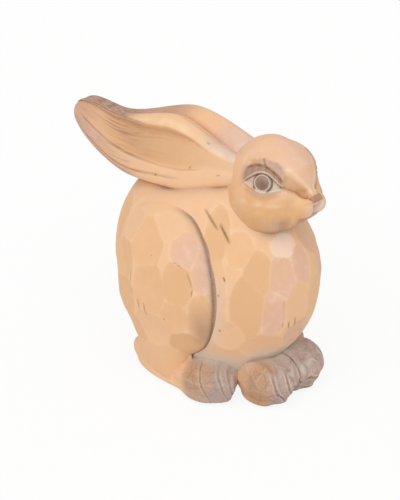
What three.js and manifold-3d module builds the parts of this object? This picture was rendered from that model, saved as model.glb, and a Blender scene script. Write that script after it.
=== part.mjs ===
// A crouching hare ornament in cast resin, finished to look like carved wood.
// Millimetres, +Z up. The hare faces -Y and its left side is +X. The origin is on the ground,
// under the middle of the whole figure.
// The castings are the hollow body, the head, the ears, the haunches, the hind feet, the forepaws
// and the tail. Each one is sunk into its neighbour at a carved crease, with a glue line between.
import * as THREE from "three";
import { mergeVertices } from "three/addons/utils/BufferGeometryUtils.js";
import Module from "manifold-3d";

const wasm = await Module();
wasm.setup();

// Driving dimensions

const GLUE_LINE = 0.4; // gap for adhesive between two pieces
const WALL = 5; // resin between the hollow of the body and anything outside it

const PAD_THICKNESS = 2; // felt under each foot
const PAD_RADIUS = 8;

const BODY_HALF_WIDTH = 66;
const BODY_HALF_LENGTH = 92;
const BODY_HALF_HEIGHT = 90;
const BODY_MIDDLE_HEIGHT = 98; // above the ground
const SEAT_HALF_WIDTH = 46; // the fuller lower belly that stands between the feet
const SEAT_HALF_LENGTH = 58;
const SEAT_HALF_HEIGHT = 42;
const SEAT_MIDDLE_HEIGHT = 32;
const BODY_FILLET = 14;

const PLUG_HALF_WIDTH = 20; // oval plate that closes the hollow from below
const PLUG_HALF_LENGTH = 28;
const PLUG_THICKNESS = 5;
const PLUG_LEDGE = 4; // width and thickness of the ledge that the plate stops against

const HEAD_HALF_WIDTH = 32;
const HEAD_HALF_LENGTH = 39;
const HEAD_HALF_HEIGHT = 34;
const HEAD_FORWARD = 55; // middle of the skull, ahead of the middle of the body
const HEAD_SINK = 24; // how deep the skull sits in the top of the body
const MUZZLE_HALF_WIDTH = 17;
const MUZZLE_HALF_LENGTH = 21;
const MUZZLE_HALF_HEIGHT = 16;
const MUZZLE_FORWARD = 22; // middle of the muzzle, ahead of the middle of the skull
const MUZZLE_DROP = 8;
const CHEEK_HALF_WIDTH = 22;
const CHEEK_HALF_LENGTH = 29;
const CHEEK_HALF_HEIGHT = 21;
const CHEEK_SPREAD = 12; // middle of a cheek, from the middle plane
const CHEEK_FORWARD = 5;
const CHEEK_DROP = 16;
const HEAD_FILLET = 8;
const NECK_RADIUS = 14; // spigot under the head
const NECK_LENGTH = 22;

const EYE_RADIUS = 7;
const EYE_DEPTH = 6;
const EYE_PROUD = 1.5;
const EYE_FORWARD = 14; // ahead of the middle of the skull
const EYE_RISE = 11.5;

const EAR_LENGTH = 187;
const EAR_HALF_WIDTH = 33; // at the belly, the widest part
const EAR_ROOT_UPPER_WIDTH = 10; // at the root, from the ear's middle line to its upper edge
const EAR_ROOT_LOWER_WIDTH = 20; // and to its lower edge
const EAR_THIN_WIDTH = 14; // where the ear is narrower than this, it is thinner too
const EAR_TIP_HALF_WIDTH = 18; // before the tip is rounded off
const EAR_FACE_DEPTH = 7; // the outer face stands this far off the middle of the ear
const EAR_ROOT_DEPTH = 24; // and the back of the ear this far, from the root to the tip
const EAR_TIP_DEPTH = 8;
const EAR_HOLLOW = 7.5; // depth of the scoop in the outer face
const EAR_BACK_LIFT = 0.5; // how far the back is raised to the other ear, as a share of its depth
const EAR_ROOT_BACK = 14; // behind the middle of the skull
const EAR_ROOT_RISE = 8; // above the middle of the skull
const EAR_ROOT_SPREAD = 15; // from the middle plane
const EAR_BELLY_SPREAD = 27;
const EAR_NECK_SPREAD = 9; // where the ear narrows behind the belly
const EAR_TIP_SPREAD = 4;
const EAR_BELLY_RISE = 1.5; // above the root
const EAR_NECK_DROP = 9; // below the root
const EAR_TIP_RISE = 4;
const EAR_LEAN = 30; // degrees that the upper edge leans inwards at the root and the belly
const EAR_TIP_LEAN = 8;
const EAR_PIN_RADIUS = 2;
const EAR_PIN_LENGTH = 30;

const HAUNCH_HALF_WIDTH = 36;
const HAUNCH_HALF_LENGTH = 56;
const HAUNCH_HALF_HEIGHT = 66;
const HAUNCH_PROUD = 13; // how far it stands out of the side of the body
const HAUNCH_SEAT = 6; // how deep it is let into the body
const HAUNCH_BACK = 6; // behind the middle of the body
const HAUNCH_HEIGHT = 96;
const HAUNCH_EAR_WALL = 4; // body left between a haunch and an ear

const HIND_FOOT_HALF_WIDTH = 15;
const HIND_FOOT_HALF_LENGTH = 57;
const HIND_FOOT_HEIGHT = 34;
const HIND_FOOT_MIDDLE = 12; // height of its widest level above the sole
const HIND_FOOT_SPREAD = 39.5; // from the middle plane
const HIND_FOOT_BACK = 3;
const HIND_FOOT_SPLAY = 5.5; // degrees outwards
const HIND_TOE_HALF_WIDTH = 11;
const HIND_TOE_HALF_LENGTH = 21;
const HIND_TOE_HALF_HEIGHT = 16.5;
const HIND_TOE_SPACING = 11;
const HIND_TOE_FORWARD = 34; // ahead of the middle of the foot
const HIND_TOE_SOLE = 3; // how much of a toe's round underside is cut off flat

const FOREPAW_HALF_WIDTH = 17;
const FOREPAW_HALF_LENGTH = 24;
const FOREPAW_HEIGHT = 31;
const FOREPAW_MIDDLE = 13;
const FOREPAW_SPREAD = 16;
const FOREPAW_SET_BACK = 33; // middle of the paw, behind the front of the breast
const FOREPAW_SPLAY = 3;
const FORE_TOE_HALF_WIDTH = 9;
const FORE_TOE_HALF_LENGTH = 20;
const FORE_TOE_HALF_HEIGHT = 18;
const FORE_TOE_SPACING = 12.5;
const FORE_TOE_FORWARD = 13;
const FORE_TOE_SOLE = 2;

const TOE_COUNT = 3;
const TOE_FILLET = 8;
const TOE_BOW = 5; // how far the outer toes stand behind the middle one

const TAIL_RADIUS = 17;
const TAIL_HALF_LENGTH = 14;
const TAIL_HEIGHT = 36;

// Places that follow from those sizes. side is -1 on the hare's right and 1 on its left.

const SIDES = { right: -1, left: 1 };
const FOOT_BOTTOM = PAD_THICKNESS + GLUE_LINE;
const vector = (x, y, z) => new THREE.Vector3(x, y, z);
const { degToRad: degrees, lerp, smoothstep } = THREE.MathUtils;

// How finely each surface is divided. The walls of the hollow, which nobody sees, are coarse.
const ROUND_SIDES = 18;
const GRIDS = {
  body: { columns: 30, rows: 20 },
  head: { columns: 28, rows: 18 },
  ear: { columns: 26, rows: 16 },
  haunch: { columns: 20, rows: 14 },
  foot: { columns: 30, rows: 14 },
  tail: { columns: 12, rows: 8 },
  hollow: { columns: 14, rows: 9 },
};
const gridFor = (name, by) => (by > GLUE_LINE ? GRIDS.hollow : GRIDS[name]);

// Fields: each gives about the distance from a point to a surface, negative inside it.

function ellipsoid(middle, radii) {
  const inverse = vector(1 / radii.x, 1 / radii.y, 1 / radii.z);
  return (point) => {
    const scaled = point.clone().sub(middle).multiply(inverse);
    const share = scaled.length();
    const slope = scaled.multiply(inverse).length();
    return slope === 0 ? -Math.min(...radii) : (share * (share - 1)) / slope;
  };
}

function turned(field, pivot, angle) {
  const up = vector(0, 0, 1);
  return (point) => field(point.clone().sub(pivot).applyAxisAngle(up, -angle).add(pivot));
}

function blend(fillet, ...fields) {
  const smoothMin = (a, b) => {
    const overlap = Math.max(fillet - Math.abs(a - b), 0) / fillet;
    return Math.min(a, b) - (overlap * overlap * fillet) / 4;
  };
  return (point) => fields.map((field) => field(point)).reduce(smoothMin);
}

const grow = (field, by) => (point) => field(point) - by;
const above = (field, floor) => (point) => Math.max(field(point), floor - point.z);

// The distance from start along direction to where a field turns positive, by halving.
const LONGEST_REACH = 2 * (BODY_HALF_LENGTH + BODY_HALF_HEIGHT);
const HALVINGS = 40;

function reach(field, start, direction) {
  let inside = 0;
  let outside = LONGEST_REACH;
  for (let step = 0; step < HALVINGS; step += 1) {
    const middle = (inside + outside) / 2;
    const isInside = field(start.clone().addScaledVector(direction, middle)) < 0;
    inside = isInside ? middle : inside;
    outside = isInside ? outside : middle;
  }
  return inside;
}

// Solids

const MERGE_DISTANCE = 1e-4;

function solidOf(geometry) {
  const bare = geometry.clone();
  bare.deleteAttribute("normal");
  bare.deleteAttribute("uv");
  const merged = mergeVertices(bare, MERGE_DISTANCE);
  return new wasm.Manifold(
    new wasm.Mesh({
      numProp: 3,
      vertProperties: merged.attributes.position.array,
      triVerts: new Uint32Array(merged.index.array),
    }),
  );
}

function geometryOf(solid) {
  const mesh = solid.getMesh();
  const geometry = new THREE.BufferGeometry();
  geometry.setAttribute("position", new THREE.BufferAttribute(mesh.vertProperties, 3));
  geometry.setIndex(new THREE.BufferAttribute(mesh.triVerts, 1));
  return geometry;
}

// A closed skin over a field: a sphere's grid of rays from a middle point, spread by the piece's
// half sizes, each ray stopped at the surface.
function skin(field, middle, halfSizes, { columns, rows }) {
  const geometry = new THREE.SphereGeometry(1, columns, rows).rotateX(Math.PI / 2);
  const position = geometry.attributes.position;
  const direction = vector(0, 0, 0);
  for (let i = 0; i < position.count; i += 1) {
    direction.fromBufferAttribute(position, i).multiply(halfSizes).normalize();
    const point = middle.clone().addScaledVector(direction, reach(field, middle, direction));
    position.setXYZ(i, point.x, point.y, point.z);
  }
  return solidOf(geometry);
}

function ovalPlate(halfWidth, halfLength, bottom, top) {
  const oval = new THREE.Shape().absellipse(0, 0, halfWidth, halfLength, 0, 2 * Math.PI);
  const settings = { depth: top - bottom, bevelEnabled: false, curveSegments: ROUND_SIDES };
  return solidOf(new THREE.ExtrudeGeometry(oval, settings).translate(0, 0, bottom));
}

// A round bar from a point along a direction.
function bar(radius, length, start, direction) {
  const geometry = new THREE.CylinderGeometry(radius, radius, length, ROUND_SIDES);
  geometry.translate(0, length / 2, 0);
  geometry.applyQuaternion(new THREE.Quaternion().setFromUnitVectors(vector(0, 1, 0), direction));
  return solidOf(geometry.translate(start.x, start.y, start.z));
}

const cut = (solid, ...tools) => tools.reduce((left, tool) => left.subtract(tool), solid);

// Body

const bodyMiddle = vector(0, 0, BODY_MIDDLE_HEIGHT);
const bodyHalf = vector(BODY_HALF_WIDTH, BODY_HALF_LENGTH, BODY_HALF_HEIGHT);
const seatMiddle = vector(0, 0, SEAT_MIDDLE_HEIGHT);
const seatHalf = vector(SEAT_HALF_WIDTH, SEAT_HALF_LENGTH, SEAT_HALF_HEIGHT);
const bodyField = blend(BODY_FILLET, ellipsoid(bodyMiddle, bodyHalf), ellipsoid(seatMiddle, seatHalf));

// Head

const neckTop = vector(0, -HEAD_FORWARD, BODY_MIDDLE_HEIGHT);
neckTop.z += reach(bodyField, neckTop, vector(0, 0, 1));
const headMiddle = neckTop.clone().add(vector(0, 0, HEAD_HALF_HEIGHT - HEAD_SINK));
const headHalf = vector(HEAD_HALF_WIDTH, HEAD_HALF_LENGTH, HEAD_HALF_HEIGHT);
const muzzleMiddle = headMiddle.clone().add(vector(0, -MUZZLE_FORWARD, -MUZZLE_DROP));
const muzzleHalf = vector(MUZZLE_HALF_WIDTH, MUZZLE_HALF_LENGTH, MUZZLE_HALF_HEIGHT);
const cheekHalf = vector(CHEEK_HALF_WIDTH, CHEEK_HALF_LENGTH, CHEEK_HALF_HEIGHT);
const cheek = (side) =>
  ellipsoid(
    headMiddle.clone().add(vector(side * CHEEK_SPREAD, -CHEEK_FORWARD, -CHEEK_DROP)),
    cheekHalf,
  );
const headField = blend(
  HEAD_FILLET,
  ellipsoid(headMiddle, headHalf),
  ellipsoid(muzzleMiddle, muzzleHalf),
  cheek(SIDES.right),
  cheek(SIDES.left),
);
const headSkin = (by) => skin(grow(headField, by), headMiddle, headHalf, gridFor("head", by));
const neckSpigot = (by) =>
  bar(NECK_RADIUS + by, NECK_LENGTH + HEAD_HALF_HEIGHT, headMiddle, vector(0, 0, -1));

// Eyes: a domed disc in a blind hole

function eyePlace(side) {
  const inner = headMiddle.clone().add(vector(0, -EYE_FORWARD, EYE_RISE));
  const outwards = vector(side, 0, 0);
  const surface = inner.addScaledVector(outwards, reach(headField, inner, outwards));
  const axis = surface.clone().sub(headMiddle).divide(headHalf).divide(headHalf).normalize();
  return { surface, axis };
}

function eyeDisc(side, by) {
  const { surface, axis } = eyePlace(side);
  const radius = EYE_RADIUS + by;
  const profile = new THREE.Path();
  profile.moveTo(0, -EYE_DEPTH - by);
  profile.lineTo(radius, -EYE_DEPTH - by);
  profile.lineTo(radius, 0);
  profile.quadraticCurveTo(radius, EYE_PROUD + by, 0, EYE_PROUD + by);
  const geometry = new THREE.LatheGeometry(profile.getPoints(3), ROUND_SIDES);
  geometry.applyQuaternion(new THREE.Quaternion().setFromUnitVectors(vector(0, 1, 0), axis));
  return solidOf(geometry.translate(surface.x, surface.y, surface.z));
}

// Ears: a section with a scooped outer face, carried along a gently sagging line. The two ears lie
// close along the middle plane, where each one is flattened.

// Places along the ear, as shares of its length.
const EAR_SHARES = { shoulder: 0.3, belly: 0.4, neck: 0.79 };
const EAR_TIP_ROUNDING = 8; // power of the curve that rounds the tip off
const EAR_LOWER_TAPER = 2.2; // power of the curve of the lower edge behind the belly

function earLine(side) {
  const root = headMiddle.clone().add(vector(0, EAR_ROOT_BACK, EAR_ROOT_RISE));
  const at = (share, spread, rise) =>
    vector(side * spread, root.y + share * EAR_LENGTH, root.z + rise);
  return new THREE.CatmullRomCurve3([
    at(0, EAR_ROOT_SPREAD, 0),
    at(EAR_SHARES.belly, EAR_BELLY_SPREAD, EAR_BELLY_RISE),
    at(EAR_SHARES.neck, EAR_NECK_SPREAD, -EAR_NECK_DROP),
    at(1, EAR_TIP_SPREAD, EAR_TIP_RISE),
  ]);
}

function earHalfWidth(share, isUpper) {
  const { shoulder, belly } = EAR_SHARES;
  const root = isUpper ? EAR_ROOT_UPPER_WIDTH : EAR_ROOT_LOWER_WIDTH;
  const rise = smoothstep(share, 0, isUpper ? belly : shoulder);
  const past = Math.max(share - belly, 0) / (1 - belly);
  const taper = isUpper ? past : 1 - (1 - past) ** EAR_LOWER_TAPER;
  const full = lerp(lerp(root, EAR_HALF_WIDTH, rise), EAR_TIP_HALF_WIDTH, taper);
  return full * Math.sqrt(Math.max(1 - past ** EAR_TIP_ROUNDING, 0));
}

// The scoop lies between two borders, given as shares of the half width. The upper border climbs from
// the root to the tip, and the lower one sags at the belly.
const SCOOP = {
  starts: 0.1, // shares of the ear's length
  climbs: 0.2,
  levels: 0.74,
  fades: 0.6,
  sagMiddle: 0.46,
  sagLength: 0.2,
  upperAtRoot: 0.2, // shares of the half width
  upperAtTip: 0.88,
  lower: -0.12,
  sag: 0.28,
  edge: 0.13,
};

function earScoop(share, width) {
  const upper = lerp(SCOOP.upperAtRoot, SCOOP.upperAtTip, smoothstep(share, SCOOP.climbs, SCOOP.levels));
  const lower = SCOOP.lower - SCOOP.sag * Math.exp(-(((share - SCOOP.sagMiddle) / SCOOP.sagLength) ** 2));
  const below = 1 - smoothstep(width, upper - SCOOP.edge, upper + SCOOP.edge);
  const over = smoothstep(width, lower - SCOOP.edge, lower + SCOOP.edge);
  const deepens = smoothstep(share, SCOOP.starts, EAR_SHARES.belly);
  const shallows = 1 - smoothstep(share, SCOOP.fades, 1) / 2;
  return EAR_HOLLOW * deepens * shallows * below * over;
}

// The point of the section at an angle: 0 is the upper edge and 90 degrees the outer face. The upper
// half of the back is full, and raised until it meets the other ear.
function earSection(share, angle, by) {
  const width = Math.cos(angle);
  const bulge = Math.abs(Math.sin(angle));
  const halves = [true, false].map((isUpper) => earHalfWidth(share, isUpper));
  const plump = Math.min(1, (halves[0] + halves[1]) / 2 / EAR_THIN_WIDTH);
  const across = width * ((width > 0 ? halves[0] : halves[1]) + by);
  if (Math.sin(angle) > 0) {
    const scoop = earScoop(share, width) * plump;
    return { across, outwards: bulge * (EAR_FACE_DEPTH * plump + by) - scoop };
  }
  const back = lerp(EAR_ROOT_DEPTH, EAR_TIP_DEPTH, share) * plump;
  const fullness = width > 0 ? Math.sqrt(bulge) : bulge;
  const lift = EAR_BACK_LIFT * back * fullness * smoothstep(width, 0.1, 0.6);
  return { across: across + lift, outwards: -fullness * (back + by) };
}

function earCorners(side, by) {
  const { columns, rows } = gridFor("ear", by);
  const line = earLine(side);
  const corners = [];
  for (let ring = 0; ring <= rows; ring += 1) {
    const share = Math.sin(((ring / rows) * Math.PI) / 2);
    const lean = degrees(lerp(EAR_LEAN, EAR_TIP_LEAN, smoothstep(share, EAR_SHARES.belly, 1)));
    const upwards = vector(-side * Math.sin(lean), 0, Math.cos(lean));
    const along = line.getTangentAt(share);
    const across = upwards.addScaledVector(along, -upwards.dot(along)).normalize();
    const outwards = along.clone().cross(across).multiplyScalar(side);
    const middle = line.getPointAt(share).addScaledVector(along, ring === 0 ? -by : 0);
    for (let i = 0; i < columns; i += 1) {
      const place = earSection(share, (side * 2 * Math.PI * i) / columns, by);
      const corner = middle.clone().addScaledVector(across, place.across);
      corners.push(corner.addScaledVector(outwards, place.outwards));
    }
  }
  corners.push(line.getPointAt(0).addScaledVector(line.getTangentAt(0), -by));
  corners.push(line.getPointAt(1).addScaledVector(line.getTangentAt(1), by));
  for (const corner of corners) {
    corner.x = side * Math.max(side * corner.x, GLUE_LINE / 2 - by);
  }
  return corners;
}

function earLoft(side, by) {
  const { columns, rows } = gridFor("ear", by);
  const corners = earCorners(side, by);
  const faces = [];
  const corner = (ring, i) => ring * columns + (i % columns);
  const rootPoint = corners.length - 2;
  const tipPoint = corners.length - 1;
  for (let i = 0; i < columns; i += 1) {
    faces.push(rootPoint, corner(0, i + 1), corner(0, i));
    for (let ring = 0; ring < rows; ring += 1) {
      faces.push(corner(ring, i), corner(ring + 1, i + 1), corner(ring + 1, i));
      faces.push(corner(ring, i), corner(ring, i + 1), corner(ring + 1, i + 1));
    }
    faces.push(corner(rows, i), corner(rows, i + 1), tipPoint);
  }
  const geometry = new THREE.BufferGeometry().setFromPoints(corners);
  geometry.setIndex(faces);
  return solidOf(geometry);
}

// A steel pin from the skull into the ear, along the line of the ear's root
function earPinPlace(side) {
  const line = earLine(side);
  const along = line.getTangentAt(0);
  return { along, start: line.getPointAt(0).addScaledVector(along, -EAR_PIN_LENGTH / 2) };
}

function earPinHole(side) {
  const { along, start } = earPinPlace(side);
  const bottom = start.clone().addScaledVector(along, -GLUE_LINE);
  return bar(EAR_PIN_RADIUS + GLUE_LINE, EAR_PIN_LENGTH + 2 * GLUE_LINE, bottom, along);
}

// Haunches: the outer part of an ellipsoid, let into the body by an even depth and kept off the ear

const haunchHalf = vector(HAUNCH_HALF_WIDTH, HAUNCH_HALF_LENGTH, HAUNCH_HALF_HEIGHT);

function haunchCasting(side, by) {
  const middle = vector(0, HAUNCH_BACK, HAUNCH_HEIGHT);
  const flank = reach(bodyField, middle, vector(side, 0, 0));
  middle.x = side * (flank + HAUNCH_PROUD - HAUNCH_HALF_WIDTH);
  const bulge = above(grow(ellipsoid(middle, haunchHalf), by), FOOT_BOTTOM);
  const seat = grow(bodyField, -HAUNCH_SEAT - by);
  return cut(
    skin(bulge, middle, haunchHalf, gridFor("haunch", by)),
    skin(seat, bodyMiddle, bodyHalf, gridFor("body", by)),
    earLoft(side, Math.max(HAUNCH_EAR_WALL - by, 0)),
  );
}

// Feet: an instep and a row of toes, cut flat underneath

function footSkin({ middle, half, waist, toe, splay, keepSide = 0 }, by) {
  const core = middle.clone().add(vector(0, 0, waist));
  const instep = ellipsoid(core, vector(half.x, half.y, half.z - waist));
  const toes = Array.from({ length: TOE_COUNT }, (_, i) => {
    const place = i - (TOE_COUNT - 1) / 2;
    const back = TOE_BOW * place * place - toe.forward;
    const offset = vector(place * toe.spacing, back, toe.half.z - toe.sole);
    return ellipsoid(middle.clone().add(offset), toe.half);
  });
  const foot = turned(blend(TOE_FILLET, instep, ...toes), middle, splay);
  const floored = above(grow(foot, by), middle.z - by);
  const field = keepSide
    ? (point) => Math.max(floored(point), GLUE_LINE / 2 - by - keepSide * point.x)
    : floored;
  const halfWidth = Math.max(half.x, toe.spacing + toe.half.x);
  return skin(field, core, vector(halfWidth, half.y, half.z), gridFor("foot", by));
}

const hindFoot = (side) => ({
  middle: vector(side * HIND_FOOT_SPREAD, HIND_FOOT_BACK, FOOT_BOTTOM),
  half: vector(HIND_FOOT_HALF_WIDTH, HIND_FOOT_HALF_LENGTH, HIND_FOOT_HEIGHT),
  waist: HIND_FOOT_MIDDLE,
  toe: {
    half: vector(HIND_TOE_HALF_WIDTH, HIND_TOE_HALF_LENGTH, HIND_TOE_HALF_HEIGHT),
    spacing: HIND_TOE_SPACING,
    forward: HIND_TOE_FORWARD,
    sole: HIND_TOE_SOLE,
  },
  splay: side * degrees(HIND_FOOT_SPLAY),
});

const forepaw = (side) => ({
  middle: vector(side * FOREPAW_SPREAD, FOREPAW_SET_BACK - BODY_HALF_LENGTH, FOOT_BOTTOM),
  half: vector(FOREPAW_HALF_WIDTH, FOREPAW_HALF_LENGTH, FOREPAW_HEIGHT),
  waist: FOREPAW_MIDDLE,
  toe: {
    half: vector(FORE_TOE_HALF_WIDTH, FORE_TOE_HALF_LENGTH, FORE_TOE_HALF_HEIGHT),
    spacing: FORE_TOE_SPACING,
    forward: FORE_TOE_FORWARD,
    sole: FORE_TOE_SOLE,
  },
  splay: side * degrees(FOREPAW_SPLAY),
  keepSide: side,
});

// Tail

const tailHalf = vector(TAIL_RADIUS, TAIL_HALF_LENGTH, TAIL_RADIUS);

function tailSkin(by) {
  const middle = vector(0, 0, TAIL_HEIGHT);
  middle.y = reach(bodyField, middle, vector(0, 1, 0));
  return skin(grow(ellipsoid(middle, tailHalf), by), middle, tailHalf, gridFor("tail", by));
}

// What lies against the body, grown by a gap or by a wall

const bothSides = (make) => Object.values(SIDES).map(make);

function bodyNeighbours(by) {
  return [
    headSkin(by),
    neckSpigot(by),
    tailSkin(by),
    ...bothSides((side) => earLoft(side, by)),
    ...bothSides((side) => haunchCasting(side, by)),
    ...bothSides((side) => footSkin(hindFoot(side), by)),
    ...bothSides((side) => footSkin(forepaw(side), by)),
  ];
}

// The hollow body, open underneath, with a ledged oval recess for its plate

const recessTop = FOOT_BOTTOM + PLUG_THICKNESS + GLUE_LINE;
const cavityFloor = recessTop + PLUG_LEDGE;

const largest = (solid) =>
  solid.decompose().reduce((best, part) => (part.volume() > best.volume() ? part : best));

function bodyShell() {
  const outer = skin(above(bodyField, FOOT_BOTTOM), bodyMiddle, bodyHalf, GRIDS.body);
  const inner = skin(above(grow(bodyField, -WALL), cavityFloor), bodyMiddle, bodyHalf, GRIDS.hollow);
  const cavity = largest(cut(inner, ...bodyNeighbours(WALL)));
  const recess = ovalPlate(
    PLUG_HALF_WIDTH + GLUE_LINE,
    PLUG_HALF_LENGTH + GLUE_LINE,
    FOOT_BOTTOM - GLUE_LINE,
    recessTop,
  );
  const opening = ovalPlate(
    PLUG_HALF_WIDTH - PLUG_LEDGE,
    PLUG_HALF_LENGTH - PLUG_LEDGE,
    FOOT_BOTTOM,
    cavityFloor + WALL,
  );
  return largest(cut(outer, cavity, recess, opening, ...bodyNeighbours(GLUE_LINE)));
}

function head() {
  const holes = bothSides((side) => [
    eyeDisc(side, GLUE_LINE),
    earLoft(side, GLUE_LINE),
    earPinHole(side),
  ]).flat();
  return cut(headSkin(0).add(neckSpigot(0)), ...holes);
}

// Assembly

const COLOURS = {
  resin: 0xe8bd90,
  ear: 0xe2b389,
  foot: 0xb99a86,
  eye: 0x8a7062,
  plate: 0xd9cbb6,
  steel: 0x9a9da0,
  felt: 0x4b4640,
};

function piece(name, geometry, colour, roughness = 0.6, metalness = 0) {
  const material = new THREE.MeshStandardMaterial({ color: colour, roughness, metalness });
  const mesh = new THREE.Mesh(geometry, material);
  mesh.name = name;
  return mesh;
}

const casting = (name, solid, colour) => piece(name, geometryOf(solid), colour);

function padUnder(name, { middle }) {
  const disc = new THREE.CylinderGeometry(PAD_RADIUS, PAD_RADIUS, PAD_THICKNESS, ROUND_SIDES);
  const pad = piece(name, disc.rotateX(Math.PI / 2), COLOURS.felt, 0.95);
  pad.position.set(middle.x, middle.y, PAD_THICKNESS / 2);
  return pad;
}

function legs(name, side) {
  const group = new THREE.Group();
  const foot = hindFoot(side);
  const paw = forepaw(side);
  const footGap = footSkin(foot, GLUE_LINE);
  group.add(
    casting(name + "_haunch", cut(haunchCasting(side, 0), footGap), COLOURS.resin),
    casting(name + "_hind_foot", footSkin(foot, 0), COLOURS.foot),
    casting(name + "_forepaw", cut(footSkin(paw, 0), footGap), COLOURS.foot),
    padUnder(name + "_hind_pad", foot),
    padUnder(name + "_fore_pad", paw),
  );
  return group;
}

function headAndEars() {
  const group = new THREE.Group();
  group.add(casting("head", head(), COLOURS.resin));
  for (const [name, side] of Object.entries(SIDES)) {
    const { along, start } = earPinPlace(side);
    const pin = new THREE.CylinderGeometry(EAR_PIN_RADIUS, EAR_PIN_RADIUS, EAR_PIN_LENGTH, ROUND_SIDES);
    const steelPin = piece(name + "_ear_pin", pin, COLOURS.steel, 0.35, 1);
    steelPin.quaternion.setFromUnitVectors(vector(0, 1, 0), along);
    steelPin.position.copy(start).addScaledVector(along, EAR_PIN_LENGTH / 2);
    group.add(
      casting(name + "_ear", cut(earLoft(side, 0), earPinHole(side)), COLOURS.ear),
      casting(name + "_eye", eyeDisc(side, 0), COLOURS.eye),
      steelPin,
    );
  }
  return group;
}

const basePlug = ovalPlate(
  PLUG_HALF_WIDTH,
  PLUG_HALF_LENGTH,
  FOOT_BOTTOM,
  FOOT_BOTTOM + PLUG_THICKNESS,
);

const hare = new THREE.Group();
hare.add(
  casting("body_shell", bodyShell(), COLOURS.resin),
  casting("base_plug", basePlug, COLOURS.plate),
  casting("tail", tailSkin(0), COLOURS.resin),
  headAndEars(),
  ...Object.entries(SIDES).map(([name, side]) => legs(name, side)),
);

// The middle of the figure's outline goes over the origin.
const outline = new THREE.Box3().setFromObject(hare).getCenter(vector(0, 0, 0));
hare.position.set(-outline.x, -outline.y, 0);

export default hare;
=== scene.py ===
"""A hare figurine, cast in resin and painted to look carved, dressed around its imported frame.

Shapes are worked out in millimetres in the hare's own frame: the origin lies on the table under the
middle of the trunk, the nose points along -Y, the hare's right side is at -X and Z is up. Each mesh is
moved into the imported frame, in metres, as it is made.
"""

import logging
import math
from dataclasses import dataclass, field
from enum import Enum
from typing import Callable, Sequence

import bpy
import numpy as np
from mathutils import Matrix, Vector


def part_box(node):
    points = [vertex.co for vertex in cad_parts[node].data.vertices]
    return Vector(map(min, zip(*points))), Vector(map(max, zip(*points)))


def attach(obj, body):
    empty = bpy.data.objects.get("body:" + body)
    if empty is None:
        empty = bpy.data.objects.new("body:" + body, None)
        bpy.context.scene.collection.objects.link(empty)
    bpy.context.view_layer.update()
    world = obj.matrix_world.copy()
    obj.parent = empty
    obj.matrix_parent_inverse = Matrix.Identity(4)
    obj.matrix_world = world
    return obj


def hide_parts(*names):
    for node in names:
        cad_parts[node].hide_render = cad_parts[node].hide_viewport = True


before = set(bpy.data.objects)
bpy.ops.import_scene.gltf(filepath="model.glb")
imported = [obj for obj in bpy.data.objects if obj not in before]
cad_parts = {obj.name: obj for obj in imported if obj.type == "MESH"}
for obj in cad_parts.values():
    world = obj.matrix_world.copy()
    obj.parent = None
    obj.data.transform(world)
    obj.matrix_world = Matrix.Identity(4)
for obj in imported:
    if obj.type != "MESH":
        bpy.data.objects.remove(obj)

Array = np.ndarray
Form = Callable[[Array], Array]
Point = tuple[float, float, float]
Place = tuple[float, float]
Masks = dict[str, Array]

LOG = logging.getLogger("hare")
MM = 0.001
SEED = 20
BODY = "root"


class Side(Enum):
    """The two sides of the hare, as the sign of X."""

    RIGHT = -1
    LEFT = 1


class Tone(Enum):
    """Paint tones of the flats, as places along the finish's row of tones."""

    TAN = 0.0
    HONEY = 0.25
    PEACH = 0.5
    ROSE = 0.75
    BLUSH = 1.0


class Mask(Enum):
    """Attributes that the shapes hand to their paint, from 0 to 1 on each point."""

    TONE = "tone"
    RIDGE = "ridge"
    WASH = "wash"
    # The brown-wash and dark masks carry real paint and also painted shade.
    STAIN = "stain"
    SCORE = "score"


# Fields and small formulas

def smoothstep(value: Array, low: float, high: float) -> Array:
    """Rise from 0 at low to 1 at high with level ends.

    Args:
        value: the numbers to shape.
        low: where the rise starts.
        high: where it ends; below low the step falls instead.

    Returns:
        3t^2 - 2t^3 of the share t between low and high, held to 0 and 1.
    """
    share = np.clip((value - low) / (high - low), 0.0, 1.0)
    return share * share * (3.0 - 2.0 * share)


def bell(value: Array, width: float) -> Array:
    """A bell curve: 1 where the value is 0, falling as exp(-(value / width)^2)."""
    return np.exp(-np.square(value / width))


def between(ends: Sequence[float], share: Array) -> Array:
    """Go from one number to another by a share from 0 to 1."""
    return ends[0] + (ends[1] - ends[0]) * share


def unit(vectors: Array) -> Array:
    """Scale vectors to length 1."""
    return vectors / np.maximum(np.linalg.norm(vectors, axis=-1, keepdims=True), 1e-12)


def mirrored(point: Point, side: Side) -> Array:
    """A point given for the hare's left, moved to one side."""
    return np.array(point) * (side.value, 1.0, 1.0)


def blend(first: Array, second: Array, fillet: Array | float) -> Array:
    """Join two fields with a fillet.

    Args:
        first: the first field's values.
        second: the second field's values.
        fillet: width over which the two run together.

    Returns:
        The lower value, less the squared overlap over four fillets.
    """
    overlap = np.maximum(fillet - np.abs(first - second), 0.0)
    return np.minimum(first, second) - overlap * overlap / (4.0 * fillet)


def lump(points: Array, middle: Sequence[float], half: Sequence[float]) -> Array:
    """An ellipsoid's field, close to the distance from its surface in millimetres.

    Args:
        points: where to read it.
        middle: its middle.
        half: its half sizes.

    Returns:
        k(k - 1) / |q / half|, with q the offset over the half sizes and k its length.
    """
    scaled = (points - np.asarray(middle)) / np.asarray(half)
    share = np.linalg.norm(scaled, axis=-1)
    slope = np.linalg.norm(scaled / np.asarray(half), axis=-1)
    return share * (share - 1.0) / np.maximum(slope, 1e-9)


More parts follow.
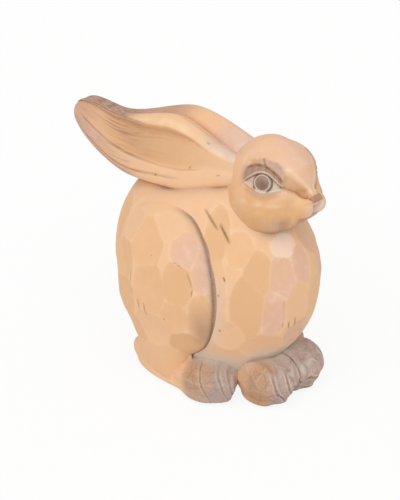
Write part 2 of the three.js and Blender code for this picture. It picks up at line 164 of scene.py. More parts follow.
def horn(points: Array, start: Array, end: Array, radii: Place) -> tuple[Array, Array]:
    """A round rod that tapers from one place to another.

    Args:
        points: where to read its field.
        start: the middle of its first end.
        end: the middle of its last end.
        radii: its radius at the two ends.

    Returns:
        The distance to its middle line less its radius there, and the share of the line at that place.
    """
    span = end - start
    share = np.clip((points - start) @ span / (span @ span), 0.0, 1.0)
    gap = np.linalg.norm(points - start - share[..., None] * span, axis=-1)
    return gap - radii[0] - share * (radii[1] - radii[0]), share


def trimmed(first: Array, second: Array, rounding: float) -> Array:
    """Keep what lies inside both of two fields, with a rounded edge where they cross."""
    return -blend(-first, -second, rounding)


def swelling(base: Array, other: Array, sink: float, spread: float) -> Array:
    """A neighbour's field, sunk so that it only shows as a swelling along the crease with a base.

    Args:
        base: the base's field.
        other: the neighbour's field.
        sink: how far the swelling lies below the neighbour at the crease.
        spread: how fast it sinks further, away from the base.

    Returns:
        The neighbour's field plus the sink, plus spread times the distance outside the base.
    """
    return other + sink + spread * np.maximum(base, 0.0)


def turned(points: Array, middle: Sequence[float], degrees: float, axis: int) -> Array:
    """Turn points about a middle, against a part's own turn, so that its field can be read unturned.

    Args:
        points: where the field is read.
        middle: the turn's middle.
        degrees: the part's turn.
        axis: the axis of the turn, 0 for X or 2 for Z.

    Returns:
        The points in the part's unturned frame.
    """
    angle = math.radians(-degrees)
    first, second = [(1, 2), (2, 0), (0, 1)][axis]
    offset = points - np.asarray(middle)
    result = offset.copy()
    result[..., first] = offset[..., first] * math.cos(angle) - offset[..., second] * math.sin(angle)
    result[..., second] = offset[..., first] * math.sin(angle) + offset[..., second] * math.cos(angle)
    return result + np.asarray(middle)


def cast(form: Form, starts: Array, rays: Array, reach: float = 220.0, halvings: int = 24) -> Array:
    """Follow rays from inside a form to its surface.

    Args:
        form: the field, negative inside.
        starts: the points that the rays start from.
        rays: their unit directions.
        reach: how far a ray goes at most.
        halvings: how often the bracket is halved.

    Returns:
        The points where the form turns positive, by halving the bracket on all rays at once.
    """
    near = np.zeros(rays.shape[:-1])
    far = np.full(rays.shape[:-1], reach)
    for _ in range(halvings):
        middle = (near + far) / 2.0
        inside = form(starts + rays * middle[..., None]) < 0.0
        near = np.where(inside, middle, near)
        far = np.where(inside, far, middle)
    return starts + rays * near[..., None]


def normals(form: Form, points: Array, step: float = 0.1) -> Array:
    """Outward directions of a field, from its differences over a short step along each axis."""
    offsets = np.eye(3) * step
    return unit(np.stack([form(points + o) - form(points - o) for o in offsets], axis=-1))


def along_lines(points: Array, starts: Array, ends: Array) -> tuple[Array, Array]:
    """Measure points against straight lines.

    Args:
        points: N points.
        starts: M line starts.
        ends: M line ends.

    Returns:
        N by M distances to the lines, and the shares of each line at the nearest place.
    """
    spans = ends - starts
    lengths = np.maximum(np.einsum("mk,mk->m", spans, spans), 1e-9)
    shares = (points @ spans.T - np.einsum("mk,mk->m", starts, spans)) / lengths
    shares = np.clip(shares, 0.0, 1.0)
    nearest = starts[None] + shares[..., None] * spans[None]
    return np.linalg.norm(points[:, None] - nearest, axis=-1), shares


def brushed(rng: np.random.Generator, across: Array, along: Array, cells: tuple[int, int]) -> Array:
    """Marks of a half-dry brush.

    Args:
        rng: the source of chance.
        across: places across the strokes, from 0 to 1.
        along: places along the strokes, from 0 to 1.
        cells: how many marks lie across and along.

    Returns:
        Random values on a grid, blended between its points, from 0 to 1.
    """
    grid = rng.random((cells[0] + 1, cells[1] + 1))
    x, y = np.clip(across, 0.0, 1.0) * cells[0], np.clip(along, 0.0, 1.0) * cells[1]
    i, j = np.minimum(x.astype(int), cells[0] - 1), np.minimum(y.astype(int), cells[1] - 1)
    u, v = x - i, y - j
    near = grid[i, j] * (1.0 - u) + grid[i + 1, j] * u
    far = grid[i, j + 1] * (1.0 - u) + grid[i + 1, j + 1] * u
    return near * (1.0 - v) + far * v


# Carving

@dataclass(frozen=True)
class Flat:
    """One flat that the knife left, placed by two measures that its piece reads.

    Attributes:
        place: where its middle lies.
        half_width: half its size across.
        half_length: half its size upwards.
        tone: the paint on it.
    """

    place: Place
    half_width: float
    half_length: float
    tone: Tone


@dataclass(frozen=True)
class Slip:
    """A crack or a slip of the knife between two places, or a pit where they are the same.

    Attributes:
        start: where it starts.
        end: where it ends.
        half_width: half its width at the surface.
        depth: how deep it goes.
    """

    start: Place
    end: Place
    half_width: float = 0.55
    depth: float = 0.7


@dataclass(frozen=True)
class Knife:
    """How the flats are cut.

    Attributes:
        flatness: radius of the skin that a flat cuts level; a smaller one dishes the flat.
        rounding: how far the ridges between flats are rounded off.
        ridge: height, next to a ridge, over which its paint is worn pale.
    """

    flatness: float = 50.0
    rounding: float = 0.05
    ridge: float = 0.22

    def carve(self, form: Form, points: Array, spots: Array,
              flats: Sequence[Flat]) -> tuple[Array, Array, Array]:
        """Cut flats into a skin.

        Each flat is a dish d(q - 1), with q the squared offset from its middle over its half sizes and
        d the depth that levels the skin there. The lowest of all dishes and of the uncut skin is kept,
        and two that are equally low meet in a ridge, rubbed paler the rosier they are.

        Args:
            form: the skin's field.
            points: N points on it.
            spots: the middles of the flats on it.
            flats: their sizes and tones.

        Returns:
            For each point the drop, the tone and how near it is to a ridge.
        """
        facing = normals(form, spots)
        upwards = unit(np.array((0.0, 0.0, 1.0)) - facing * facing[:, 2:3])
        across = np.cross(upwards, facing)
        widths = np.array([flat.half_width for flat in flats])
        lengths = np.array([flat.half_length for flat in flats])
        depths = np.minimum(widths, lengths) ** 2 / (2.0 * self.flatness)
        offset = [points @ axes.T - np.einsum("mk,mk->m", spots, axes) for axes in (across, upwards, facing)]
        shares = sum((gap / half) ** 2 for gap, half in zip(offset, (widths, lengths, widths + lengths)))
        dishes = np.concatenate([depths * (shares - 1.0), np.zeros((len(points), 1))], axis=1)
        order = np.argpartition(dishes, 1, axis=1)[:, :2]
        lowest, next_lowest = np.take_along_axis(dishes, order, axis=1).T
        gap = np.abs(lowest - next_lowest)
        drop = np.minimum(lowest, next_lowest) - self.rounding * np.exp(-gap / self.rounding)
        tones = np.array([flat.tone.value for flat in flats] + [Tone.PEACH.value])
        first = np.where(lowest <= next_lowest, order[:, 0], order[:, 1])
        rubbed = 0.25 + 0.75 * np.mean(tones[order], axis=1)
        return drop, tones[first], np.exp(-gap / self.ridge) * rubbed


def score(points: Array, starts: Array, ends: Array, slips: Sequence[Slip]) -> tuple[Array, Array]:
    """Cut slips and pits.

    Args:
        points: N points.
        starts: where each slip starts.
        ends: where each slip ends.
        slips: their widths and depths.

    Returns:
        For each point the deepest drop, a bell across the slip that thins to its ends, and its darkness.
    """
    distance, share = along_lines(points, starts, ends)
    widths = np.array([slip.half_width for slip in slips])
    depths = np.array([slip.depth for slip in slips])
    thin = np.where(np.linalg.norm(ends - starts, axis=1) > 0.5, np.sqrt(np.sin(np.pi * share)), 1.0)
    dark = np.exp(-np.square(distance / widths)) * np.maximum(thin, 0.05)
    return -np.max(dark * depths, axis=1), np.max(dark, axis=1)


# Meshes

@dataclass(frozen=True)
class Skin:
    """A closed skin of rays from a middle point: rings of rays about a pole axis.

    Attributes:
        middle: where the rays start.
        axis: direction of the first pole.
        facing: direction, square to the axis, towards which the columns gather.
        columns: rays in a ring.
        rings: rings between the poles.
        gather: how much closer the columns stand on the facing side, from 0 to under 1.
    """

    middle: Point
    axis: Point
    facing: Point
    columns: int
    rings: int
    gather: float = 0.0

    def rays(self) -> Array:
        """Unit rays: the first pole, then ring after ring, then the last pole.

        Returns:
            Directions cos(tilt) axis + sin(tilt) (cos(turn) facing + sin(turn) side), with the turn
            drawn towards the facing side by gather times its sine.
        """
        axis, facing = unit(np.array(self.axis, float)), unit(np.array(self.facing, float))
        even = np.arange(self.columns) / self.columns * 2.0 * np.pi
        turn = (even - self.gather * np.sin(even))[None, :, None]
        tilt = (np.arange(1, self.rings + 1) / (self.rings + 1) * np.pi)[:, None, None]
        around = np.cos(turn) * facing + np.sin(turn) * np.cross(axis, facing)
        body = np.cos(tilt) * axis + np.sin(tilt) * around
        return np.concatenate([axis[None], body.reshape(-1, 3), -axis[None]])

    def over(self, form: Form) -> Array:
        """The skin's points on a form."""
        rays = self.rays()
        return cast(form, np.broadcast_to(np.array(self.middle, float), rays.shape), rays)


def ring_faces(rings: int, columns: int) -> tuple[Array, Array]:
    """Faces of rings of points that are closed by one point at each end.

    Args:
        rings: how many rings.
        columns: points in a ring.

    Returns:
        Quads between the rings, and triangles from the end points to the first and last ring.
    """
    grid = 1 + np.arange(rings * columns).reshape(rings, columns)
    after = np.roll(grid, -1, axis=1)
    quads = np.stack([grid[:-1], grid[1:], after[1:], after[:-1]], axis=-1).reshape(-1, 4)
    last = rings * columns + 1
    first_fan = np.stack([np.zeros(columns, int), grid[0], after[0]], axis=-1)
    last_fan = np.stack([np.full(columns, last), after[-1], grid[-1]], axis=-1)
    return quads, np.concatenate([first_fan, last_fan])


def enclosed(points: Array, triangles: Array) -> float:
    """Signed volume of a closed mesh: a sixth of the sum of its corners' triple products."""
    a, b, c = (points[triangles[:, i]] for i in range(3))
    return float(np.einsum("nk,nk->", a, np.cross(b, c)) / 6.0)


@dataclass(frozen=True)
class Workbench:
    """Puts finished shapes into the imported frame.

    Attributes:
        offset: place of the hare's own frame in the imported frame, in millimetres.
    """

    offset: Point

    def piece(self, name: str, points: Array, columns: int, masks: Masks, node: str,
              finish: bpy.types.Material) -> bpy.types.Object:
        """Make a piece from rings of points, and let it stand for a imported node.

        Args:
            name: the piece's name.
            points: an end point, the rings, and the other end point, in millimetres.
            columns: points in a ring.
            masks: attribute values for each point.
            node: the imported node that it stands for.
            finish: its material.

        Returns:
            The new object, at the origin, with its place in its mesh.
        """
        rings = (len(points) - 2) // columns
        quads, fans = ring_faces(rings, columns)
        triangles = np.concatenate([quads[:, :3], quads[:, [0, 2, 3]], fans])
        if enclosed(points - points.mean(axis=0), triangles) < 0.0:
            quads, fans = quads[:, ::-1], fans[:, ::-1]
        mesh = bpy.data.meshes.new(name)
        mesh.vertices.add(len(points))
        mesh.vertices.foreach_set("co", ((points + np.array(self.offset)) * MM).astype(np.float32).ravel())
        corners = np.concatenate([quads.ravel(), fans.ravel()])
        starts = np.concatenate([np.arange(len(quads)) * 4, quads.size + np.arange(len(fans)) * 3])
        mesh.loops.add(len(corners))
        mesh.loops.foreach_set("vertex_index", corners.astype(np.int32))
        mesh.polygons.add(len(starts))
        mesh.polygons.foreach_set("loop_start", starts.astype(np.int32))
        mesh.update(calc_edges=True)
        mesh.shade_smooth()
        mesh.set_sharp_from_angle(angle=math.radians(52.0))
        for key, values in masks.items():
            attribute = mesh.attributes.new(key, "FLOAT", "POINT")
            attribute.data.foreach_set("value", np.clip(values, 0.0, 1.0).astype(np.float32))
        mesh.materials.append(finish)
        made = bpy.data.objects.new(name, mesh)
        bpy.context.scene.collection.objects.link(made)
        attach(made, BODY)
        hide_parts(node)
        LOG.info("%s: %d faces, stands for %s", name, len(starts), node)
        return made


# Finishes

def linear(code: str) -> tuple[float, float, float, float]:
    """Turn an sRGB hex value into a linear colour.

    Args:
        code: six hex digits after a hash.

    Returns:
        Linear red, green and blue, and 1 for alpha.
    """
    parts = [int(code[i:i + 2], 16) / 255.0 for i in (1, 3, 5)]
    red, green, blue = (p / 12.92 if p <= 0.04045 else ((p + 0.055) / 1.055) ** 2.4 for p in parts)
    return red, green, blue, 1.0


def add_node(tree: bpy.types.NodeTree, kind: str, inputs: dict[str | int, object] | None = None,
             **settings: object) -> bpy.types.Node:
    """Add a node with its settings and links.

    Args:
        tree: the node tree.
        kind: the node's type.
        inputs: for each input's name or number a socket to link or a value to set.
        **settings: the node's own settings.

    Returns:
        The new node.
    """
    node = tree.nodes.new(kind)
    for key, value in settings.items():
        setattr(node, key, value)
    for key, value in (inputs or {}).items():
        if isinstance(value, bpy.types.NodeSocket):
            tree.links.new(value, node.inputs[key])
        else:
            node.inputs[key].default_value = value
    return node


MIX_FACTOR, MIX_FIRST, MIX_SECOND, MIX_RESULT = 0, 6, 7, 2


def new_material(name: str) -> tuple[bpy.types.Material, bpy.types.NodeTree, bpy.types.Node]:
    """Start a node material.

    Args:
        name: the material's name.

    Returns:
        The material, its tree and its principled shader.
    """
    material = bpy.data.materials.new(name)
    material.use_nodes = True
    tree = material.node_tree
    return material, tree, tree.nodes["Principled BSDF"]


def per_mm(size: float) -> float:
    """Scale of a texture on Object coordinates, in metres, whose features are this many millimetres."""
    return 1.0 / (size * MM)


@dataclass(frozen=True)
class PaintedResin:
    """Cast polyester resin, brushed with matt wood-coloured paint and rubbed with washes.

    To the eye it is chalky and warm: each flat has its own tone, the ridges are rubbed pale, a grey
    wash lies in the creases and a brown one on feet, nose and brow. The brown wash and the dark paint
    also lay painted shade into creases, round the eyes and under the ears and chin.

    Attributes:
        name: the material's name.
        tones: paint from tan over honey, peach and rose to blush.
        edge: the pale paint on the ridges.
        wash: the grey-white wash in creases.
        stain: the brown wash, also painted shade under the ears and chin and beside the nose bridge.
        bloom: the lilac that the brown wash has on rose and blush flats.
        bloom_from: the tones between which that lilac sets in.
        dark: the dirt in cracks and pits, and painted shade in creases, round the eyes and under ears and
            chin.
        roughness: the paint's roughness.
        specular: its specular level.
        mottle: size of the brushed patches, in millimetres.
        uneven: how far the patches lower and raise the tone.
        grain: size of the paint's grit, in millimetres, coarser than real so that it shows.
        grain_depth: the grit's height, in millimetres.
        grain_strength: how strongly it is seen.
        crackle: distance between the fine cracks in the brown wash, in millimetres, or 0 for none.
        crack_width: a crack's width, as a share of that distance.
        crack_bend: how far it wanders, as a share of that distance.
        crack_strength: how dark it is.
    """

    name: str
    tones: tuple[str, ...] = ("#E2B385", "#E9B98B", "#EDBF95", "#E3B699", "#F3D2BC")
    edge: str = "#F6D7AE"
    wash: str = "#D8CCC0"
    stain: str = "#AD8468"
    bloom: str = "#B39A92"
    bloom_from: Place = (0.2, 0.8)
    dark: str = "#5C4030"
    roughness: float = 0.62
    specular: float = 0.35
    mottle: float = 11.0
    uneven: Place = (-0.1, 0.1)
    grain: float = 0.9
    grain_depth: float = 0.2
    grain_strength: float = 0.18
    crackle: float = 0.0
    crack_width: float = 0.06
    crack_bend: float = 0.8
    crack_strength: float = 0.32

    def cracks(self, tree: bpy.types.NodeTree, place: bpy.types.NodeSocket) -> bpy.types.NodeSocket:
        """Fine cracks along the borders of bent cells.

        Args:
            tree: the material's tree.
            place: its coordinates.

        Returns:
            A value that is 1 on the cracks.
        """
        scale = per_mm(self.crackle)
        bend = add_node(tree, "ShaderNodeTexNoise", {"Vector": place, "Scale": scale, "Detail": 1.0})
        bent = add_node(tree, "ShaderNodeVectorMath", {
            0: bend.outputs["Color"], 1: (self.crackle * MM * self.crack_bend,) * 3, 2: place,
        }, operation="MULTIPLY_ADD").outputs["Vector"]
        cells = add_node(tree, "ShaderNodeTexVoronoi", {
            "Vector": bent, "Scale": scale,
        }, feature="DISTANCE_TO_EDGE")
        return add_node(tree, "ShaderNodeMapRange", {
            "Value": cells.outputs["Distance"], "From Min": 0.0, "From Max": self.crack_width,
            "To Min": self.crack_strength, "To Max": 0.0,
        }).outputs["Result"]

    def material(self) -> bpy.types.Material:
        """Layer the paint by the piece's masks.

        Returns:
            The material.
        """
        material, tree, shader = new_material(self.name)
        place = add_node(tree, "ShaderNodeTexCoord").outputs["Object"]
        mask = {
            key: add_node(tree, "ShaderNodeAttribute", attribute_name=key.value).outputs["Fac"]
            for key in Mask
        }
        patches = add_node(tree, "ShaderNodeTexNoise", {
            "Vector": place, "Scale": per_mm(self.mottle), "Detail": 3.0, "Roughness": 0.55,
        }).outputs["Fac"]
        grit = add_node(tree, "ShaderNodeTexNoise", {
            "Vector": place, "Scale": per_mm(self.grain), "Detail": 2.0,
        }).outputs["Fac"]
        spread = add_node(tree, "ShaderNodeMapRange", {
            "Value": patches, "From Min": 0.3, "From Max": 0.7,
            "To Min": self.uneven[0], "To Max": self.uneven[1],
        }).outputs["Result"]
        tone = add_node(tree, "ShaderNodeMath", {0: mask[Mask.TONE], 1: spread}, operation="ADD").outputs[0]
        ramp = add_node(tree, "ShaderNodeValToRGB", {"Fac": tone})
        stops = ramp.color_ramp.elements
        while len(stops) < len(self.tones):
            stops.new(1.0)
        for i, code in enumerate(self.tones):
            stops[i].position = i / (len(self.tones) - 1)
            stops[i].color = linear(code)
        colour = ramp.outputs["Color"]
        broken = add_node(tree, "ShaderNodeMapRange", {
            "Value": grit, "From Min": 0.35, "From Max": 0.65, "To Min": 0.72, "To Max": 1.0,
        }).outputs["Result"]
        patchy = add_node(tree, "ShaderNodeMapRange", {
            "Value": patches, "From Min": 0.35, "From Max": 0.62, "To Min": 0.2, "To Max": 1.0,
        }).outputs["Result"]
        brown = add_node(tree, "ShaderNodeMix", {
            MIX_FACTOR: add_node(tree, "ShaderNodeMapRange", {
                "Value": tone, "From Min": self.bloom_from[0], "From Max": self.bloom_from[1],
            }).outputs["Result"],
            MIX_FIRST: linear(self.stain), MIX_SECOND: linear(self.bloom),
        }, data_type="RGBA").outputs[MIX_RESULT]
        layers = [
            (mask[Mask.RIDGE], patchy, linear(self.edge)),
            (mask[Mask.STAIN], broken, brown),
            (mask[Mask.WASH], broken, linear(self.wash)),
            (mask[Mask.SCORE], broken, linear(self.dark)),
        ]
        if self.crackle:
            layers.insert(2, (mask[Mask.STAIN], self.cracks(tree, place), linear(self.dark)))
        for cover, wear, paint in layers:
            worn = add_node(tree, "ShaderNodeMath", {0: cover, 1: wear}, operation="MULTIPLY").outputs[0]
            colour = add_node(tree, "ShaderNodeMix", {
                MIX_FACTOR: worn, MIX_FIRST: colour, MIX_SECOND: paint,
            }, data_type="RGBA").outputs[MIX_RESULT]
        tree.links.new(colour, shader.inputs["Base Color"])
        bump = add_node(tree, "ShaderNodeBump", {
            "Height": grit, "Strength": self.grain_strength, "Distance": self.grain_depth * MM,
        })
        tree.links.new(bump.outputs["Normal"], shader.inputs["Normal"])
        shader.inputs["Roughness"].default_value = self.roughness
        shader.inputs["Specular IOR Level"].default_value = self.specular
        return material


CARVED = PaintedResin("painted_resin_carved")
FACE = PaintedResin("painted_resin_face", tones=("#DFA970", "#E4B07C", "#EABB91", "#EAC0A4", "#F3D2BC"))
EAR = PaintedResin("painted_resin_ear", mottle=14.0, stain="#A87E62", bloom="#A58474")
FOOT = PaintedResin("painted_resin_foot", mottle=6.0, stain="#AE8567", bloom="#AA968F", crackle=9.0)


@dataclass(frozen=True)
class GlazedIris:
    """Resin eye disc, painted brown-grey and sealed: a pale rim round a darker, softly shining iris."""

    name: str = "sealed_resin_eye"
    iris: str = "#9A7D69"
    pupil: str = "#55301F"
    rim: str = "#CDBFB2"
    roughness: float = 0.38
    fleck: float = 1.6

    def material(self) -> bpy.types.Material:
        """Paint the iris darker towards its pupil and pale on the rim, by the disc's masks.

        Returns:
            The material.
        """
        material, tree, shader = new_material(self.name)
        place = add_node(tree, "ShaderNodeTexCoord").outputs["Object"]
        flecks = add_node(tree, "ShaderNodeTexNoise", {
            "Vector": place, "Scale": per_mm(self.fleck), "Detail": 3.0,
        }).outputs["Fac"]
        dark = add_node(tree, "ShaderNodeAttribute", attribute_name=Mask.STAIN.value).outputs["Fac"]
        pale = add_node(tree, "ShaderNodeAttribute", attribute_name=Mask.RIDGE.value).outputs["Fac"]
        share = add_node(tree, "ShaderNodeMath", {0: dark, 1: flecks}, operation="MULTIPLY").outputs[0]
        iris = add_node(tree, "ShaderNodeMix", {
            MIX_FACTOR: share, MIX_FIRST: linear(self.iris), MIX_SECOND: linear(self.pupil),
        }, data_type="RGBA").outputs[MIX_RESULT]
        colour = add_node(tree, "ShaderNodeMix", {
            MIX_FACTOR: pale, MIX_FIRST: iris, MIX_SECOND: linear(self.rim),
        }, data_type="RGBA").outputs[MIX_RESULT]
        tree.links.new(colour, shader.inputs["Base Color"])
        shader.inputs["Roughness"].default_value = self.roughness
        return material


@dataclass(frozen=True)
class PressedFelt:
    """Pressed wool felt, die cut: dull, dark and fibrous with a soft nap."""

    name: str = "pressed_felt"
    wool: str = "#4A453F"
    nap: str = "#6A645C"
    fibre: float = 0.5
    roughness: float = 0.95

    def material(self) -> bpy.types.Material:
        """Mix two wools by stretched noise, with the same noise as bump.

        Returns:
            The material.
        """
        material, tree, shader = new_material(self.name)
        place = add_node(tree, "ShaderNodeTexCoord").outputs["Object"]
        fibres = add_node(tree, "ShaderNodeTexNoise", {
            "Vector": place, "Scale": per_mm(self.fibre), "Detail": 4.0, "Distortion": 1.5,
        }).outputs["Fac"]
        colour = add_node(tree, "ShaderNodeMix", {
            MIX_FACTOR: fibres, MIX_FIRST: linear(self.wool), MIX_SECOND: linear(self.nap),
        }, data_type="RGBA").outputs[MIX_RESULT]
        tree.links.new(colour, shader.inputs["Base Color"])
        bump = add_node(tree, "ShaderNodeBump", {"Height": fibres, "Strength": 0.6, "Distance": 0.3 * MM})
        tree.links.new(bump.outputs["Normal"], shader.inputs["Normal"])
        shader.inputs["Roughness"].default_value = self.roughness
        return material


@dataclass(frozen=True)
class BareResin:
    """Unpainted cast resin: cream, faintly cloudy, with the satin of a smooth mould."""

    name: str = "bare_cast_resin"
    resin: str = "#D9CBB6"
    cloud: str = "#CBBBA3"
    cloud_size: float = 8.0
    roughness: float = 0.5

    def material(self) -> bpy.types.Material:
        """Cloud the resin with a slow noise.

        Returns:
            The material.
        """
        material, tree, shader = new_material(self.name)
        place = add_node(tree, "ShaderNodeTexCoord").outputs["Object"]
        clouds = add_node(tree, "ShaderNodeTexNoise", {
            "Vector": place, "Scale": per_mm(self.cloud_size), "Detail": 4.0,
        }).outputs["Fac"]
        colour = add_node(tree, "ShaderNodeMix", {
            MIX_FACTOR: clouds, MIX_FIRST: linear(self.resin), MIX_SECOND: linear(self.cloud),
        }, data_type="RGBA").outputs[MIX_RESULT]
        tree.links.new(colour, shader.inputs["Base Color"])
        shader.inputs["Roughness"].default_value = self.roughness
        return material


@dataclass(frozen=True)
class DrawnSteel:
    """Drawn steel wire, cut to length: grey metal with fine draw lines along it."""

    name: str = "drawn_steel"
    steel: str = "#9A9DA0"
    roughness: Place = (0.28, 0.42)
    line: float = 0.4

    def material(self) -> bpy.types.Material:
        """Let a fine noise vary the roughness.

        Returns:
            The material.
        """
        material, tree, shader = new_material(self.name)
        place = add_node(tree, "ShaderNodeTexCoord").outputs["Object"]
        lines = add_node(tree, "ShaderNodeTexNoise", {
            "Vector": place, "Scale": per_mm(self.line),
        }).outputs["Fac"]
        rough = add_node(tree, "ShaderNodeMapRange", {
            "Value": lines, "To Min": self.roughness[0], "To Max": self.roughness[1],
        }).outputs["Result"]
        tree.links.new(rough, shader.inputs["Roughness"])
        shader.inputs["Base Color"].default_value = linear(self.steel)
        shader.inputs["Metallic"].default_value = 1.0
        return material


# The hare

@dataclass(frozen=True)
class Haunch:
    """A thigh: an ellipsoid let into the flank, cut in broad flats.

    Attributes:
        middle: its middle, given for the left side.
        half: its half sizes.
        sole: height of its flat underside.
        knife: how its flats are cut.
        flats: knife flats, placed by Y and Z on its outer face.
        slips: cracks and pits, placed the same way.
        heel_from: places along Y between which the crease over the foot turns into a smooth run.
        heel_spreads: how fast that run sinks away, in front and behind.
        heel_fillets: how wide it is, in front and behind.
    """

    middle: Point = (42.8, 6.0, 96.0)
    half: Point = (36.0, 56.0, 66.0)
    heel_from: Place = (-26.0, 10.0)
    heel_spreads: Place = (0.7, 0.08)
    heel_fillets: Place = (1.0, 38.0)
    sole: float = 6.0
    knife: Knife = Knife()
    flats: tuple[Flat, ...] = (
        Flat((-2.0, 148.0), 15.0, 12.0, Tone.PEACH),
        Flat((12.0, 132.0), 17.0, 22.0, Tone.HONEY),
        Flat((-22.0, 133.0), 12.0, 16.0, Tone.ROSE),
        Flat((-36.0, 119.0), 9.0, 19.0, Tone.ROSE),
        Flat((-20.0, 108.0), 13.0, 20.0, Tone.TAN),
        Flat((6.0, 97.0), 17.0, 26.0, Tone.HONEY),
        Flat((-16.0, 76.0), 13.0, 16.0, Tone.HONEY),
        Flat((-36.0, 78.0), 10.0, 24.0, Tone.HONEY),
        Flat((6.0, 62.0), 18.0, 18.0, Tone.PEACH),
        Flat((-20.0, 52.0), 14.0, 14.0, Tone.TAN),
        Flat((34.0, 140.0), 14.0, 15.0, Tone.PEACH),
        Flat((38.0, 112.0), 16.0, 18.0, Tone.HONEY),
        Flat((36.0, 82.0), 16.0, 20.0, Tone.HONEY),
        Flat((30.0, 54.0), 17.0, 16.0, Tone.HONEY),
        Flat((54.0, 98.0), 13.0, 24.0, Tone.PEACH),
    )
    slips: tuple[Slip, ...] = (
        Slip((24.0, 109.0), (25.0, 96.0), 0.4),
        Slip((25.0, 96.0), (23.0, 89.0), 0.4),
        Slip((18.0, 85.0), (16.0, 75.0), 0.45),
        Slip((12.0, 83.0), (10.0, 71.0), 0.5),
        Slip((-27.0, 117.0), (-32.0, 106.0), 0.4),
        Slip((-32.0, 106.0), (-31.0, 98.0), 0.4),
        Slip((-15.0, 125.0), (-23.0, 121.0), 0.35),
        Slip((6.0, 125.0), (6.0, 125.0), 0.6),
        Slip((-8.0, 74.0), (-8.0, 74.0), 0.6),
    )

    def field(self, points: Array, side: Side) -> Array:
        """The ellipsoid's field on one side."""
        return lump(points, mirrored(self.middle, side), self.half)

    def spots(self, places: Sequence[Place], side: Side) -> Array:
        """Places given by Y and Z, found on the outer face by rays along X.

        Args:
            places: Y and Z of each.
            side: the hare's side.

        Returns:
            Points on the surface.
        """
        x = self.middle[0] * side.value
        starts = np.array([(x, y, z) for y, z in places])
        rays = np.broadcast_to(np.array((float(side.value), 0.0, 0.0)), starts.shape)
        return cast(lambda points: self.field(points, side), starts, rays)

    def joined(self, points: Array, side: Side) -> Array:
        """The thigh run into the heel behind, with a crease over the foot in front.

        Args:
            points: where to read it.
            side: the hare's side.

        Returns:
            Its value at each point.
        """
        thigh = self.field(points, side)
        soft = smoothstep(points[..., 1], *self.heel_from)
        heel = swelling(thigh, HIND_FOOT.field(points, side), 1.0, between(self.heel_spreads, soft))
        return np.maximum(blend(thigh, heel, between(self.heel_fillets, soft)), self.sole - points[..., 2])

    def side_flats(self, side: Side) -> list[Flat]:
        """The flats of one side, a little moved on the hare's left and held to the outer face.

        Args:
            side: the hare's side.

        Returns:
            All flats of the haunch.
        """
        moved = np.array([flat.place for flat in self.flats])
        if side is Side.LEFT:
            moved = moved + np.random.default_rng(SEED + 1).uniform(-4.0, 4.0, moved.shape)
        moved = np.clip(moved, (-46.0, 34.0), (60.0, 158.0))
        return [
            Flat((float(y), float(z)), flat.half_width, flat.half_length, flat.tone)
            for flat, (y, z) in zip(self.flats, moved)
        ]

    def build(self, side: Side, bench: "Workbench", finish: bpy.types.Material) -> bpy.types.Object:
        """Cut and paint one haunch.

        Args:
            side: the hare's side.
            bench: puts it into the frame.
            finish: its paint.

        Returns:
            The piece.
        """
        def form(points: Array) -> Array:
            """This side's haunch."""
            return self.joined(points, side)

        middle = tuple(mirrored(self.middle, side))
        skin = Skin(middle, (0.0, -1.0, 0.0), (float(side.value), 0.0, 0.0), 300, 190, 0.4)
        points = skin.over(form)
        facing = normals(form, points)
        flats = self.side_flats(side)
        middles = self.spots([flat.place for flat in flats], side)
        drop, tone, ridge = self.knife.carve(form, points, middles, flats)
        slip_drop, dark = score(
            points, self.spots([slip.start for slip in self.slips], side),
            self.spots([slip.end for slip in self.slips], side), self.slips)
        edge = np.maximum(TRUNK.field(points), 0.0)
        to_foot = np.maximum(HIND_FOOT.field(points, side), 0.0)
        sharp = 1.0 - TRUNK.softness(points)
        # The ears' painted shade: a broad brown band, and a dark line in a cut crease.
        shade, crease = EARS.shade(points)
        # Darker towards the lower front of the thigh.
        front = 1.0 - smoothstep(points[:, 1], -36.0, -24.0)
        low_front = (1.0 - smoothstep(points[:, 2], 66.0, 104.0)) * front
        masks = {
            Mask.TONE.value: tone,
            Mask.RIDGE.value: ridge * 0.85,
            Mask.WASH.value: bell(to_foot, 3.0) * 0.3 * (1.0 - smoothstep(points[:, 1], -30.0, -8.0)),
            # Painted shade in the front crease where the trunk meets the thigh: a brown band and a dark line,
            # with the ears' painted shade.
            Mask.STAIN.value: np.max([bell(edge, 3.0) * sharp * 0.6, low_front * 0.8, shade * 0.5], axis=0),
            Mask.SCORE.value: np.max([
                dark * 0.7, bell(edge - 0.7, 0.9) * sharp * 0.75, crease * 0.45,
            ], axis=0),
        }
        points = points + facing * (drop + slip_drop - 1.8 * crease)[:, None]
        name = side.name.lower()
        return bench.piece(
            name + "_haunch_carving", points, skin.columns, masks, name + "_haunch", finish)


